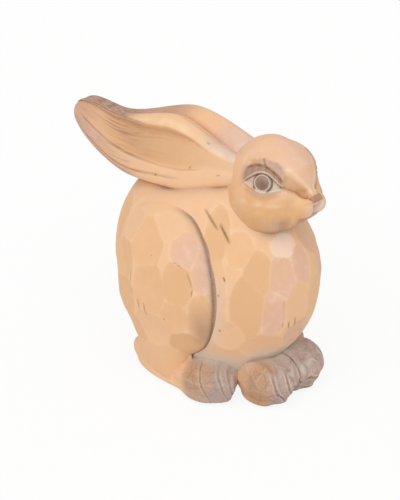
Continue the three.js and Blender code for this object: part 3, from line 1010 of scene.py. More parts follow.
@dataclass(frozen=True)
class Foot:
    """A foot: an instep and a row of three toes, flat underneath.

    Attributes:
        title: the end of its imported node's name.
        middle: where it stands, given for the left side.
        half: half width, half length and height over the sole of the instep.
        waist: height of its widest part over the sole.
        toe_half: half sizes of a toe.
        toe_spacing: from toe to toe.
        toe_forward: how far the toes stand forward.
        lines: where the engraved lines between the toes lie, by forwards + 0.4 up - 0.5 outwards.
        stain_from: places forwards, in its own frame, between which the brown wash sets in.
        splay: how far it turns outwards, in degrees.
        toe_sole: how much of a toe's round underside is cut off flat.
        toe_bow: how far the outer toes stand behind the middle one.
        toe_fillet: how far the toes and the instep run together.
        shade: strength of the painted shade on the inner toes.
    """

    title: str
    middle: Point
    half: Point
    waist: float
    toe_half: Point
    toe_spacing: float
    toe_forward: float
    lines: tuple[float, ...]
    stain_from: Place
    splay: float
    toe_sole: float
    toe_bow: float = 5.0
    toe_fillet: float = 8.0
    shade: float = 0.0

    def own(self, points: Array, side: Side) -> Array:
        """Points in the foot's own frame: from its stand, turned straight."""
        stand = mirrored(self.middle, side)
        return turned(points, stand, self.splay * side.value, 2) - stand

    def parts(self, own: Array) -> list[Array]:
        """Fields of the instep and of each toe, in the foot's own frame.

        Args:
            own: points in that frame.

        Returns:
            The instep's field and the three toes'.
        """
        fields = [lump(own, (0.0, 0.0, self.waist), (self.half[0], self.half[1], self.half[2] - self.waist))]
        for place in (-1.0, 0.0, 1.0):
            middle = (
                place * self.toe_spacing,
                self.toe_bow * place * place - self.toe_forward,
                self.toe_half[2] - self.toe_sole,
            )
            fields.append(lump(own, middle, self.toe_half))
        return fields

    def field(self, points: Array, side: Side) -> Array:
        """The foot's field on one side: its parts run together by the toe fillet, and cut off at the sole.

        Args:
            points: where to read it.
            side: the hare's side.

        Returns:
            Its value at each point.
        """
        own = self.own(points, side)
        instep, *toes = self.parts(own)
        whole = instep
        for toe in toes:
            whole = blend(whole, toe, self.toe_fillet)
        return np.maximum(whole, -own[..., 2])

    def build(self, side: Side, bench: "Workbench", finish: bpy.types.Material) -> bpy.types.Object:
        """Cut and paint one foot, with double lines engraved between the toes.

        Args:
            side: the hare's side.
            bench: puts it into the frame.
            finish: its paint.

        Returns:
            The piece.
        """
        def form(points: Array) -> Array:
            """This side's foot, kept off the middle plane."""
            return np.maximum(self.field(points, side), 0.2 - side.value * points[..., 0])

        stand = mirrored(self.middle, side)
        skin = Skin(tuple(stand + (0.0, 0.0, self.waist)), (0.0, -0.5, 1.0), (0.0, -1.0, -0.5), 240, 150, 0.3)
        points = skin.over(form)
        facing = normals(form, points)
        own = self.own(points, side)
        wander = 0.6 * np.sin(own[:, 2] / 6.0 + own[:, 1] / 5.0)
        level = -own[:, 1] + 0.4 * own[:, 2] - 0.5 * own[:, 0] * side.value + wander
        cleft = np.min([np.abs(level - line) for line in self.lines], axis=0)
        on_toes = 1.0 - smoothstep(own[:, 2], 0.85 * self.half[2], self.half[2])
        groove = bell(cleft, 0.8) * on_toes
        lips = bell(cleft - 1.7, 0.55) * on_toes
        rng = np.random.default_rng(SEED + 2 + len(self.title))
        picks = rng.integers(0, len(points), 46)
        flats = [
            Flat((0.0, 0.0), float(width), float(length), tone)
            for width, length, tone in zip(
                rng.uniform(5.0, 9.0, len(picks)), rng.uniform(6.0, 11.0, len(picks)),
                rng.choice(np.array([Tone.TAN, Tone.HONEY, Tone.PEACH, Tone.ROSE]), len(picks)))
        ]
        drop, tone, ridge = Knife(15.0, 0.04, 0.14).carve(form, points, points[picks], flats)
        lift = smoothstep(own[:, 2], 1.0, 5.0)
        stain = smoothstep(-own[:, 1], *self.stain_from)
        to_inner_toes = -0.64 * own[:, 0] * side.value - 0.77 * (own[:, 1] + self.toe_forward)
        inner = smoothstep(to_inner_toes + (14.0 if side is Side.LEFT else 0.0), -9.0, 5.0)
        to_trunk = np.maximum(TRUNK.skin_field(points), 0.0)
        masks = {
            Mask.TONE.value: (0.4 * tone + 0.6 * inner) * stain + 0.5 * (1.0 - stain),
            Mask.RIDGE.value: ridge * 0.5 * (1.0 - 0.5 * stain),
            Mask.WASH.value: np.max([
                lips * 0.62, ridge * stain * 0.5, bell(to_trunk, 6.5) * (0.45 + 0.45 * stain),
            ], axis=0),
            Mask.STAIN.value: stain * 0.95,
            # Painted shade on the inner toes.
            Mask.SCORE.value: np.maximum(groove * 0.4, self.shade * inner * stain),
        }
        points = points + facing * ((drop * 0.8 - groove * 0.9) * lift)[:, None]
        name = f"{side.name.lower()}_{self.title}"
        return bench.piece(name + "_carving", points, skin.columns, masks, name, finish)


HAUNCH = Haunch()
HIND_FOOT = Foot(
    "hind_foot", (39.5, 3.0, 2.4), (15.0, 57.0, 34.0), 12.0, (11.0, 21.0, 16.5), 11.0, 34.0,
    lines=(38.5, 54.5, 61.5), stain_from=(14.0, 28.0), splay=5.5, toe_sole=3.0, shade=0.16,
)
FOREPAW = Foot(
    "forepaw", (16.0, -59.0, 2.4), (17.0, 24.0, 31.0), 13.0, (9.0, 20.0, 18.0), 12.5, 13.0,
    lines=(27.5, 37.5, 43.5), stain_from=(-9.0, 11.0), splay=3.0, toe_sole=2.0,
)


@dataclass(frozen=True)
class Trunk:
    """The trunk: a tall egg on a narrower seat, with a breast cut in long flats.

    Attributes:
        middle: the egg's middle.
        half: its half sizes.
        seat_middle: the seat's middle.
        seat_half: its half sizes.
        fillet: how far the two run together.
        sole: height of the flat underside.
        plug: half sizes of the oval recess underneath, and the height of its top.
        haunch_sink: how far the swelling under a haunch lies below the haunch.
        soft_from: places along Y between which the run into a haunch turns soft, at the soft height.
        soft_height: that height.
        soft_slope: how much further forwards it is soft for each unit above.
        haunch_fillets: how far the trunk runs into a haunch where sharp and where soft.
        neck_fillets: the same for the head.
        chin_from: place along Y before which the neck's swelling sinks away.
        spread: how fast a swelling sinks away.
    """

    middle: Point = (0.0, 0.0, 98.0)
    half: Point = (66.0, 92.0, 90.0)
    seat_middle: Point = (0.0, 0.0, 32.0)
    seat_half: Point = (46.0, 58.0, 42.0)
    fillet: float = 14.0
    sole: float = 2.4
    plug: Point = (20.4, 28.4, 7.8)
    haunch_sink: float = 1.6
    neck_sink: float = 1.2
    soft_from: Place = (-12.0, 24.0)
    soft_height: float = 130.0
    soft_slope: float = 0.55
    haunch_fillets: Place = (1.5, 11.5)
    neck_fillets: Place = (1.0, 11.0)
    chin_from: float = -66.0
    spread: float = 0.6
    neck_from: Place = (-74.0, -52.0)
    knife: Knife = Knife()
    flats: tuple[Flat, ...] = (
        Flat((51.0, 146.0), 10.0, 24.0, Tone.TAN),
        Flat((52.0, 98.0), 9.0, 36.0, Tone.HONEY),
        Flat((37.0, 137.0), 12.0, 15.0, Tone.HONEY),
        Flat((28.0, 119.0), 12.0, 19.0, Tone.TAN),
        Flat((12.0, 138.0), 11.0, 10.0, Tone.BLUSH),
        Flat((16.0, 115.0), 12.0, 18.0, Tone.ROSE),
        Flat((4.0, 120.0), 9.0, 18.0, Tone.ROSE),
        Flat((34.0, 90.0), 14.0, 30.0, Tone.TAN),
        Flat((20.0, 84.0), 11.0, 24.0, Tone.ROSE),
        Flat((7.0, 90.0), 12.0, 22.0, Tone.PEACH),
        Flat((43.0, 64.0), 13.0, 16.0, Tone.PEACH),
        Flat((22.0, 52.0), 18.0, 15.0, Tone.PEACH),
        Flat((2.0, 60.0), 14.0, 16.0, Tone.ROSE),
        Flat((-21.0, 141.0), 30.0, 27.0, Tone.PEACH),
    )
    slips: tuple[Slip, ...] = (
        Slip((62.0, 162.0), (50.5, 149.5), 0.85, 1.3),
        Slip((49.0, 154.0), (42.5, 141.0), 0.95, 1.4),
        Slip((47.0, 116.0), (46.0, 112.0), 0.7),
        Slip((15.0, 95.0), (14.0, 70.0), 0.5),
        Slip((11.0, 75.0), (10.0, 68.0), 0.5),
        Slip((7.0, 77.0), (6.0, 67.0), 0.5),
        Slip((49.0, 67.0), (49.0, 67.0), 0.8),
        Slip((50.0, 100.0), (50.0, 100.0), 0.7),
        Slip((113.0, 161.0), (113.0, 161.0), 0.7),
        Slip((37.0, 155.0), (37.0, 155.0), 0.9),
    )

    def skin_field(self, points: Array) -> Array:
        """The egg and the seat, run together.

        Args:
            points: where to read it.

        Returns:
            Its value at each point.
        """
        return blend(
            lump(points, self.middle, self.half),
            lump(points, self.seat_middle, self.seat_half),
            self.fillet,
        )

    def softness(self, points: Array) -> Array:
        """How softly the trunk runs into a haunch: sharp in front, soft on the back and the loin."""
        above = points[..., 2] - self.soft_height
        return smoothstep(points[..., 1] + self.soft_slope * above, *self.soft_from)

    def neck_softness(self, points: Array) -> Array:
        """How softly the trunk runs into the head: sharp under the chin, soft behind the cheeks."""
        return smoothstep(points[..., 1], *self.neck_from)

    def field(self, points: Array) -> Array:
        """The trunk with swellings under the haunches and behind the head, flat and recessed underneath.

        Args:
            points: where to read it.

        Returns:
            Its value at each point.
        """
        bare = self.skin_field(points)
        reach = between(self.haunch_fillets, self.softness(points))
        whole = bare
        for side in Side:
            haunch = swelling(bare, HAUNCH.field(points, side), self.haunch_sink, self.spread)
            whole = blend(whole, haunch, reach)
        sink = self.neck_sink + self.spread * np.maximum(self.chin_from - points[..., 1], 0.0)
        neck = swelling(bare, HEAD.skull_field(points), sink, self.spread)
        whole = blend(whole, neck, between(self.neck_fillets, self.neck_softness(points)))
        oval = np.hypot(points[..., 0] / self.plug[0], points[..., 1] / self.plug[1]) < 1.0
        floor = np.where(oval, self.plug[2], self.sole)
        return np.maximum(whole, floor - points[..., 2])

    def spots(self, places: Sequence[Place]) -> Array:
        """Places given by a turn from the breast and a height, found by level rays from the middle line.

        Args:
            places: turn in degrees, to the hare's right, and height.

        Returns:
            Points on the surface.
        """
        turns = np.radians([turn for turn, _ in places])
        starts = np.array([(0.0, 0.0, height) for _, height in places])
        rays = np.stack([-np.sin(turns), -np.cos(turns), np.zeros(len(places))], axis=-1)
        return cast(self.skin_field, starts, rays)

    def all_flats(self, rng: np.random.Generator) -> list[Flat]:
        """The breast's flats, their mirror images a little moved, and rows of flats over the back.

        Args:
            rng: the source of chance.

        Returns:
            All flats of the trunk.
        """
        other = [
            Flat((-flat.place[0] + shift, flat.place[1] + lift), flat.half_width, flat.half_length, flat.tone)
            for flat, shift, lift in zip(
                self.flats, rng.uniform(-2.0, 2.0, len(self.flats)), rng.uniform(-4.0, 4.0, len(self.flats)))
            if flat.place[0] > 5.0
        ]
        tones = list(Tone)
        back = [
            Flat((turn + rng.uniform(-5.0, 5.0), height + rng.uniform(-5.0, 5.0)), 15.0, 18.0,
                 tones[int(rng.integers(len(tones) - 1))])
            for row, height in enumerate((50.0, 78.0, 106.0, 134.0))
            for turn in np.arange(112.0, 250.0, 24.0) + 12.0 * (row % 2)
        ]
        return [*self.flats, *other, *back]

    def build(self, bench: Workbench, finish: bpy.types.Material) -> bpy.types.Object:
        """Cut and paint the trunk.

        Args:
            bench: puts it into the frame.
            finish: its paint.

        Returns:
            The piece.
        """
        skin = Skin((0.0, 0.0, 84.0), (0.0, 0.0, 1.0), (-0.5, -1.0, 0.0), 420, 230, 0.45)
        points = skin.over(self.field)
        facing = normals(self.field, points)
        flats = self.all_flats(np.random.default_rng(SEED))
        drop, tone, ridge = self.knife.carve(
            self.skin_field, points, self.spots([flat.place for flat in flats]), flats)
        above_sole = smoothstep(points[:, 2], self.sole + 1.0, self.sole + 14.0)
        slip_drop, dark = score(
            points, self.spots([slip.start for slip in self.slips]),
            self.spots([slip.end for slip in self.slips]), self.slips)
        to_haunch = np.min([HAUNCH.field(points, side) for side in Side], axis=0)
        to_foot = np.min([foot.field(points, side) for foot in (HIND_FOOT, FOREPAW) for side in Side], axis=0)
        to_head = HEAD.field(points)
        sharp = 1.0 - self.softness(points)
        # The ears' painted shade: a broad brown band, and a dark line in a cut crease.
        shade, crease = EARS.shade(points)
        wash = np.max([
            bell(np.maximum(to_haunch, 0.0), 4.5) * sharp * 0.45
            * (1.0 - smoothstep(points[:, 2], 100.0, 132.0)),
            bell(np.maximum(to_foot, 0.0), 8.0),
            bell(np.maximum(to_head, 0.0), 3.5) * 0.4 * (1.0 - self.neck_softness(points)),
        ], axis=0)
        masks = {
            Mask.TONE.value: tone,
            Mask.RIDGE.value: ridge * 0.85,
            Mask.WASH.value: wash,
            # The brown here is only painted shade under the ears; the dark is the slips' dirt and the painted
            # crease shadow.
            Mask.STAIN.value: shade * 0.5,
            Mask.SCORE.value: np.maximum(dark, crease * 0.45),
        }
        points = points + facing * ((drop + slip_drop - 1.8 * crease) * above_sole)[:, None]
        return bench.piece("trunk_carving", points, skin.columns, masks, "body_shell", finish)


@dataclass(frozen=True)
class Head:
    """The head: a round skull, full cheeks, a nose bridge, whisker pads and deep-set eyes.

    Attributes:
        middle: the skull's middle.
        skull: its half sizes.
        pad_fillets: how far a whisker pad runs into the other one and into the head.
        bridge_fillets: how far the nose bridge runs into the head at its two ends.
    """

    middle: Point = (0.0, -55.0, 180.15)
    skull: Point = (32.0, 36.5, 36.0)
    cheek: Point = (14.5, -1.5, -16.0)
    cheek_half: Point = (23.5, 32.0, 20.5)
    bridge_root: Point = (0.0, -20.0, 4.0)
    bridge_end: Point = (0.0, -33.5, -3.5)
    bridge_radii: Place = (14.0, 7.2)
    nose: Point = (0.0, -42.0, -3.0)
    nose_half: Point = (8.6, 9.0, 5.8)
    nose_patch: Place = (6.6, 2.7)
    pad_fillets: Place = (0.8, 3.5)
    bridge_fillets: Place = (9.5, 1.5)
    nose_facing: Point = (0.0, -0.85, 0.53)
    pad: Point = (8.0, -25.5, -10.5)
    pad_half: Point = (9.5, 18.2, 11.0)
    tear_start: Point = (20.5, -28.5, 6.35)
    tear_end: Point = (8.0, -43.0, -1.0)
    tear_depths: Place = (4.6, 1.2)
    tear_wall: Place = (13.0, 4.5)
    flats: tuple[Flat, ...] = (
        Flat((20.0, 55.0), 16.0, 14.0, Tone.ROSE),
        Flat((55.0, 62.0), 15.0, 13.0, Tone.PEACH),
        Flat((95.0, 50.0), 13.0, 14.0, Tone.PEACH),
        Flat((120.0, 20.0), 14.0, 15.0, Tone.HONEY),
        Flat((88.0, -2.0), 10.0, 12.0, Tone.HONEY),
        Flat((96.0, -28.0), 14.0, 11.0, Tone.TAN),
        Flat((66.0, -30.0), 13.0, 10.0, Tone.HONEY),
        Flat((44.0, -26.0), 11.0, 9.0, Tone.PEACH),
        Flat((40.0, -48.0), 12.0, 9.0, Tone.TAN),
        Flat((75.0, -52.0), 15.0, 10.0, Tone.HONEY),
        Flat((150.0, 45.0), 16.0, 16.0, Tone.PEACH),
    )
    fillet: float = 8.0
    jaw: Point = (27.0, -79.0, 158.0)
    jaw_half: Point = (12.0, 13.0, 9.0)
    pits: tuple[Point, ...] = ((-25.0, -83.0, 161.0), (24.0, -86.0, 163.0))
    smear: tuple[Point, ...] = ((4.0, 1.0, -11.0), (-4.0, 1.0, -11.0))
    eye_forward: float = 11.8
    eye_rise: float = 10.2
    eye_radius: float = 6.6
    upper_lid: tuple[Place, ...] = (
        (-15.3, -2.0), (-12.0, 0.8), (-8.0, 4.5), (-4.5, 6.3), (1.4, 7.1), (8.2, 4.2), (16.5, -0.9))
    lower_lid: tuple[Place, ...] = (
        (-15.3, -2.0), (-12.0, -2.2), (-8.3, -4.2), (-2.4, -5.6), (5.3, -4.9), (11.1, -2.6), (16.5, -0.9))
    lid_fold: tuple[Place, ...] = (
        (-17.5, 6.2), (-13.3, 10.2), (-3.9, 12.0), (0.4, 12.8), (9.2, 8.1), (13.5, 5.2))
    brow_top: tuple[Place, ...] = ((-15.1, 14.8), (-4.0, 18.1), (6.6, 17.3), (13.6, 13.5))
    brow_crack: tuple[Point, Point] = ((-3.4, 17.5, 0.0), (0.0, 12.9, 0.0))

    def at(self, offset: Point, side: Side = Side.LEFT) -> Array:
        """A point given from the skull's middle, on one side."""
        return np.array(self.middle) + mirrored(offset, side)

    def skull_field(self, points: Array) -> Array:
        """Skull and cheeks, run together.

        Args:
            points: where to read it.

        Returns:
            Its value at each point.
        """
        whole = lump(points, self.middle, self.skull)
        for side in Side:
            whole = blend(whole, lump(points, self.at(self.cheek, side), self.cheek_half), self.fillet)
        return whole

    def field(self, points: Array) -> Array:
        """Skull and cheeks, with the whisker pads and the nose standing out from them.

        Args:
            points: where to read it.

        Returns:
            Its value at each point.
        """
        whole = self.skull_field(points)
        pads = [lump(points, self.at(self.pad, side), self.pad_half) for side in Side]
        whole = blend(whole, blend(pads[0], pads[1], self.pad_fillets[0]), self.pad_fillets[1])
        bridge, share = horn(points, self.at(self.bridge_root), self.at(self.bridge_end), self.bridge_radii)
        whole = blend(whole, bridge, between(self.bridge_fillets, share))
        nose = lump(points, self.at(self.nose) + (0.0, 4.5, -0.4), self.nose_half)
        nose = trimmed(nose, (points - self.at(self.nose)) @ np.array(self.nose_facing), 1.2)
        return blend(whole, nose, 1.5)

    def spots(self, places: Sequence[Place], side: Side) -> Array:
        """Places given by a turn from the nose and a tilt upwards, found by rays from the skull's middle.

        Args:
            places: turn and tilt in degrees.
            side: the hare's side.

        Returns:
            Points on the surface.
        """
        turn, tilt = np.radians(places).T
        across, forwards = side.value * np.sin(turn), -np.cos(turn)
        rays = np.stack([across * np.cos(tilt), forwards * np.cos(tilt), np.sin(tilt)], axis=-1)
        return cast(self.field, np.broadcast_to(np.array(self.middle), rays.shape), rays)

    def tear(self, points: Array, side: Side) -> tuple[Array, Array, Array]:
        """The cut beside the nose bridge, from the eye's inner corner to the nose.

        Its wall falls straight from a ridge on the bridge to a crease over the pad. The hare's left was
        cut less deeply.

        Args:
            points: N points on the head.
            side: the hare's side.

        Returns:
            For each point the drop, its height over the crease along the surface, far off as 99, and the
            height of the wall there.
        """
        start, end = self.at(self.tear_start, side), self.at(self.tear_end, side)
        share = (points - start) @ (end - start) / ((end - start) @ (end - start))
        offset = points - start - np.clip(share, 0.0, 1.0)[:, None] * (end - start)
        height = offset @ np.array((-0.42 * side.value, -0.04, 0.88))
        here = smoothstep(share, -0.35, 0.0) * (1.0 - smoothstep(share, 0.98, 1.12))
        here = here * smoothstep(points[:, 0] * side.value, 0.0, 4.0)
        wall = self.tear_wall[0] + (self.tear_wall[1] - self.tear_wall[0]) * np.clip(share, 0.0, 1.0)
        fall = np.where(height > 0.0, np.clip(1.0 - height / wall, 0.0, 1.0), bell(height, 1.3))
        depth = self.tear_depths[0] if side is Side.RIGHT else self.tear_depths[1]
        return -depth * fall * here, np.where(here > 0.3, height, 99.0), wall

    def eye_frame(self, side: Side) -> tuple[Array, Array]:
        """Where an eye sits.

        Args:
            side: the hare's side.

        Returns:
            The middle of the eye on the head's surface, and the axes towards the nose, upwards and outwards.
        """
        inner = self.at((0.0, -self.eye_forward, self.eye_rise))
        surface = cast(self.field, inner[None], np.array([(float(side.value), 0.0, 0.0)]))[0]
        outwards = unit((surface - np.array(self.middle)) / np.square(self.skull))
        forwards = np.array((0.0, -1.0, 0.0))
        forwards = unit(forwards - outwards * (forwards @ outwards))
        upwards = np.cross(outwards, forwards) * -side.value
        return surface, np.stack([forwards, upwards, outwards])

    def build(self, bench: Workbench, finish: bpy.types.Material) -> bpy.types.Object:
        """Shape and paint the head.

        Args:
            bench: puts it into the frame.
            finish: its paint.

        Returns:
            The piece.
        """
        skin = Skin(self.middle, (0.0, -1.0, -0.2), (0.0, -0.2, 1.0), 380, 240)
        points = skin.over(self.field)
        facing = normals(self.field, points)
        flats = [*self.flats, *self.flats]
        spots = np.concatenate([self.spots([flat.place for flat in self.flats], side) for side in Side])
        drop, tone, ridge = Knife(75.0, 0.05, 0.12).carve(self.field, points, spots, flats)
        ridge = ridge * 0.35
        zero = np.zeros(len(points))
        wash, stain, dark = zero.copy(), zero.copy(), zero.copy()
        for side in Side:
            surface, axes = self.eye_frame(side)
            a, b, c = ((points - surface) @ axes.T).T
            near = smoothstep(c, -22.0, -14.0) * (1.0 - smoothstep(np.hypot(a, b), 26.0, 34.0))
            span = smoothstep(a, -16.0, -13.5) * (1.0 - smoothstep(a, 14.5, 17.5))
            lid, lower, fold, brow_edge = (
                b - np.polyval(np.polyfit(*zip(*line), 3 if len(line) < 5 else 4), np.clip(a, -18.0, 18.0))
                for line in (self.upper_lid, self.lower_lid, self.lid_fold, self.brow_top)
            )
            folded = smoothstep(a, -19.0, -15.0) * (1.0 - smoothstep(a, 13.0, 17.0))
            ring = np.hypot(a, b)
            open_eye = smoothstep(lower, -0.5, 0.8) * (1.0 - smoothstep(lid, -0.8, 0.5)) * span
            drop += near * (
                -1.6 * open_eye * bell(ring - self.eye_radius - 1.1, 0.9)
                - 1.3 * open_eye
                + 1.0 * bell(lid - 1.0, 0.9) * span
                - 1.2 * bell(fold, 0.7) * folded
                + 1.5 * smoothstep(fold, 0.2, 1.6) * (1.0 - smoothstep(fold, 3.0, 11.0)) * folded
                + 0.8 * bell(lower + 1.0, 1.1) * span
                - 0.5 * bell(lower + 3.2, 1.1) * span
            )
            inside = smoothstep(lower, -3.6, -0.8) * (1.0 - smoothstep(lid, 1.3, 2.2)) * near * span
            room = smoothstep(lid, 1.3, 2.1) * (1.0 - smoothstep(fold, -0.6, 0.4)) * folded * near
            nearer = smoothstep(a, -4.0, 3.0)
            rim = smoothstep(lid, -0.3, 0.7)
            wash = np.maximum(wash, inside * (0.5 + 0.28 * nearer) * (1.0 - 0.45 * rim))
            ragged = brow_edge + 0.5 * np.sin(a * 0.6) + 0.3 * np.sin(a * 1.4 + 1.0)
            brow = smoothstep(fold, -0.4, 0.6) * (1.0 - smoothstep(ragged, -1.8, 0.8)) * near
            brow = brow * smoothstep(a, -17.0, -9.0) * (1.0 - smoothstep(a, 12.0, 17.0))
            corner = bell(np.hypot((a + 16.0) / 4.0, (b - 2.5) / 6.0), 1.0) * near
            tone = tone * (1.0 - brow) + brow * (0.1 + 0.4 * nearer)
            tone = tone * (1.0 - room) + room * 0.2
            stain = np.max([
                stain, brow * (0.6 + 0.18 * nearer), room, corner * 0.9, inside * rim * 0.5,
            ], axis=0)
            below = bell(lower + 4.4, 3.4) * (1.0 - smoothstep(np.abs(a), 10.0, 18.0)) * near
            tone = tone * (1.0 - np.maximum(below, corner))
            stain = np.maximum(stain, below * 0.6)
            # Painted shadow: dark crescents in the gaps beside the disc, shade over the eye's opening and a
            # dark line under the upper lid.
            gaps = bell(ring - self.eye_radius - 1.0, 0.75) * smoothstep(np.abs(a), 3.5, 6.0) * span * near
            dark = np.maximum(dark, np.maximum(gaps * 0.95, open_eye * near * (0.22 - 0.08 * nearer)))
            dark = np.maximum(dark, bell(lid + 0.4, 0.7) * span * near * 0.8)
            dark = np.maximum(dark, room * (0.3 + 0.1 * np.sin(a * 1.1)))
            # Painted shadow along the fold under the brow's ledge, stronger and weaker along its length.
            worn = 0.7 + 0.3 * np.sin(a * 0.9 + 1.0)
            dark = np.maximum(dark, bell(fold, 0.65) * folded * near * 0.85 * worn)
            crack, _ = along_lines(
                np.stack([a, b, 0.0 * a], -1), np.array(self.brow_crack[:1]), np.array(self.brow_crack[1:]))
            slit = bell(crack[:, 0], 0.5) * near
            drop -= 0.6 * slit
            dark = np.maximum(dark, slit * 0.75)
            tear_drop, height, top = self.tear(points, side)
            drop += tear_drop
            # Painted shade on the cut's wall beside the nose bridge: tan and brown, with a dark line along
            # the crease at its foot.
            wall = smoothstep(height, -0.6, 0.4) * (1.0 - smoothstep(height / top, 0.65, 0.95))
            tone = tone * (1.0 - wall)
            stain = np.maximum(stain, wall * 0.34)
            dark = np.maximum(dark, bell(height, 0.7) * 0.45)
            ridge = np.maximum(ridge, bell(height - 1.1 * top, 1.6) * 0.8)
        across, up = self.nose_patch
        offset = points - self.at(self.nose)
        rise = offset @ np.array((0.0, self.nose_facing[2], -self.nose_facing[1]))
        patch = np.abs(offset[:, 0] / across) ** 4 + np.abs(rise / up) ** 4
        from_face = offset @ np.array(self.nose_facing)
        patch = (1.0 - smoothstep(patch, 0.75, 1.2)) * smoothstep(from_face, -3.2, -1.8)
        stain = np.maximum(stain, patch * 0.82)
        dark = np.maximum(dark, patch * 0.2 + bell(rise + up, 0.7) * smoothstep(patch, 0.1, 0.5) * 0.4)
        mouth = smoothstep(-points[:, 1], 78.0, 86.0) * (1.0 - smoothstep(points[:, 2], 172.5, 176.0))
        mouth = mouth * bell(np.abs(points[:, 0]) - 5.0, 8.0) * smoothstep(points[:, 2], 153.0, 160.0)
        pale = mouth * smoothstep(-points[:, 1], 88.0, 95.0)
        wash = np.maximum(wash, pale * 0.35)
        stain = np.maximum(stain, mouth * 0.12)
        dark = np.maximum(dark, mouth * bell(points[:, 0], 1.2) * 0.5)
        cheek_line = bell(points[:, 2] - 174.5, 1.6) * smoothstep(points[:, 1], -86.0, -78.0)
        ridge = np.maximum(ridge, cheek_line * (1.0 - smoothstep(points[:, 1], -56.0, -46.0)) * 0.5)
        low_down = 1.0 - smoothstep(points[:, 2], 170.0, 186.0)
        tone = 0.4 * tone + 0.6 * (0.7 - 0.68 * low_down)
        tone = np.maximum(tone, pale)
        tone = np.maximum(tone, 0.35 * TRUNK.neck_softness(points))
        stain = np.maximum(stain, low_down * smoothstep(points[:, 1], -92.0, -84.0) * 0.2)
        # A grey wash in the crease under the head, and painted shade there: a brown band and a dark line.
        to_trunk = np.maximum(TRUNK.skin_field(points), 0.0)
        under = 1.0 - TRUNK.neck_softness(points)
        wash = np.maximum(wash, bell(to_trunk, 4.0) * 0.2 * under)
        stain = np.maximum(stain, bell(to_trunk, 4.5) * 0.85 * under)
        dark = np.maximum(dark, bell(to_trunk, 2.2) * 0.5 * under)
        ridge = np.maximum(ridge, bell(to_trunk - 2.0, 1.6) * 0.5 * (1.0 - under))
        # Painted shade under the chin, on the faces that look down.
        chin = smoothstep(-facing[:, 2], 0.5, 0.9) * under
        stain = np.maximum(stain, chin * 0.85)
        dark = np.maximum(dark, chin * 0.34)
        for side in Side:
            jaw = np.linalg.norm((points - mirrored(self.jaw, side)) / np.array(self.jaw_half), axis=1)
            jaw = jaw + 0.16 * np.sin(points[:, 1] * 0.55)
            jaw = jaw + 0.12 * np.sin(points[:, 2] * 0.9 + points[:, 1] * 0.4)
            rubbed = 1.0 - smoothstep(jaw, 0.15, 1.5)
            tone = np.maximum(tone, rubbed * 0.5)
            wash = np.maximum(wash, rubbed * 0.1)
            stain = np.maximum(stain, rubbed * 0.62)
        pits = np.array(self.pits)
        smeared, _ = along_lines(points, pits + (0.0, -1.0, -1.0), pits + np.array(self.smear))
        smear = bell(smeared.min(axis=1), 5.5)
        tone = tone * (1.0 - smear) + 0.15 * smear
        stain = np.maximum(stain, smear * 0.9)
        distance, _ = along_lines(points, pits, pits)
        pit = bell(distance.min(axis=1), 0.9)
        drop -= 0.8 * pit
        dark = np.maximum(dark, pit * 0.85)
        masks = {
            Mask.TONE.value: tone,
            Mask.RIDGE.value: ridge,
            Mask.WASH.value: wash,
            Mask.STAIN.value: stain,
            Mask.SCORE.value: dark,
        }
        points = points + facing * drop[:, None]
        return bench.piece("head_carving", points, skin.columns, masks, "head", finish)


HEAD = Head()
TRUNK = Trunk()


@dataclass(frozen=True)
class Eyes:
    """Two domed discs with a raised rim, set into the head.

    Attributes:
        depth: how far they reach into the head.
        sink: how far they sit below the head's surface.
        columns: points round the rim.
    """

    depth: float = 5.0
    sink: float = 0.9
    columns: int = 64

    def build(self, bench: Workbench, finish: bpy.types.Material) -> list[bpy.types.Object]:
        """Turn each disc's profile about its axis.

        Args:
            bench: puts them into the frame.
            finish: their paint.

        Returns:
            The two pieces.
        """
        shares = np.array([
            0.08, 0.2, 0.32, 0.44, 0.56, 0.66, 0.74, 0.79, 0.83, 0.87, 0.91, 0.95, 0.98, 1.0, 1.0])
        heights = np.array([1.55, 1.5, 1.4, 1.25, 1.02, 0.78, 0.55, 0.42, 0.55, 0.85, 0.98, 0.85, 0.55, 0.1,
                            self.sink - self.depth]) - self.sink
        turn = np.arange(self.columns) / self.columns * 2.0 * np.pi
        made = []
        for side in Side:
            surface, axes = HEAD.eye_frame(side)
            radii = shares[:, None] * HEAD.eye_radius
            rings = (
                radii[..., None]
                * (np.cos(turn)[None, :, None] * axes[0] + np.sin(turn)[None, :, None] * axes[1])
                + heights[:, None, None] * axes[2] + surface
            )
            points = np.concatenate([
                (surface + axes[2] * (1.57 - self.sink))[None],
                rings.reshape(-1, 3),
                (surface - axes[2] * self.depth)[None],
            ])
            share = np.concatenate([[0.0], np.repeat(shares, self.columns), [1.0]])
            a, b, _ = ((points - surface) @ axes.T).T
            masks = {
                Mask.RIDGE.value: smoothstep(share, 0.8, 0.86) * 0.9,
                Mask.STAIN.value: bell(np.hypot(a - 1.2, b + 1.0), 4.2),
            }
            name = side.name.lower()
            made.append(bench.piece(
                name + "_eye_disc", points, self.columns, masks, name + "_eye", finish))
        return made


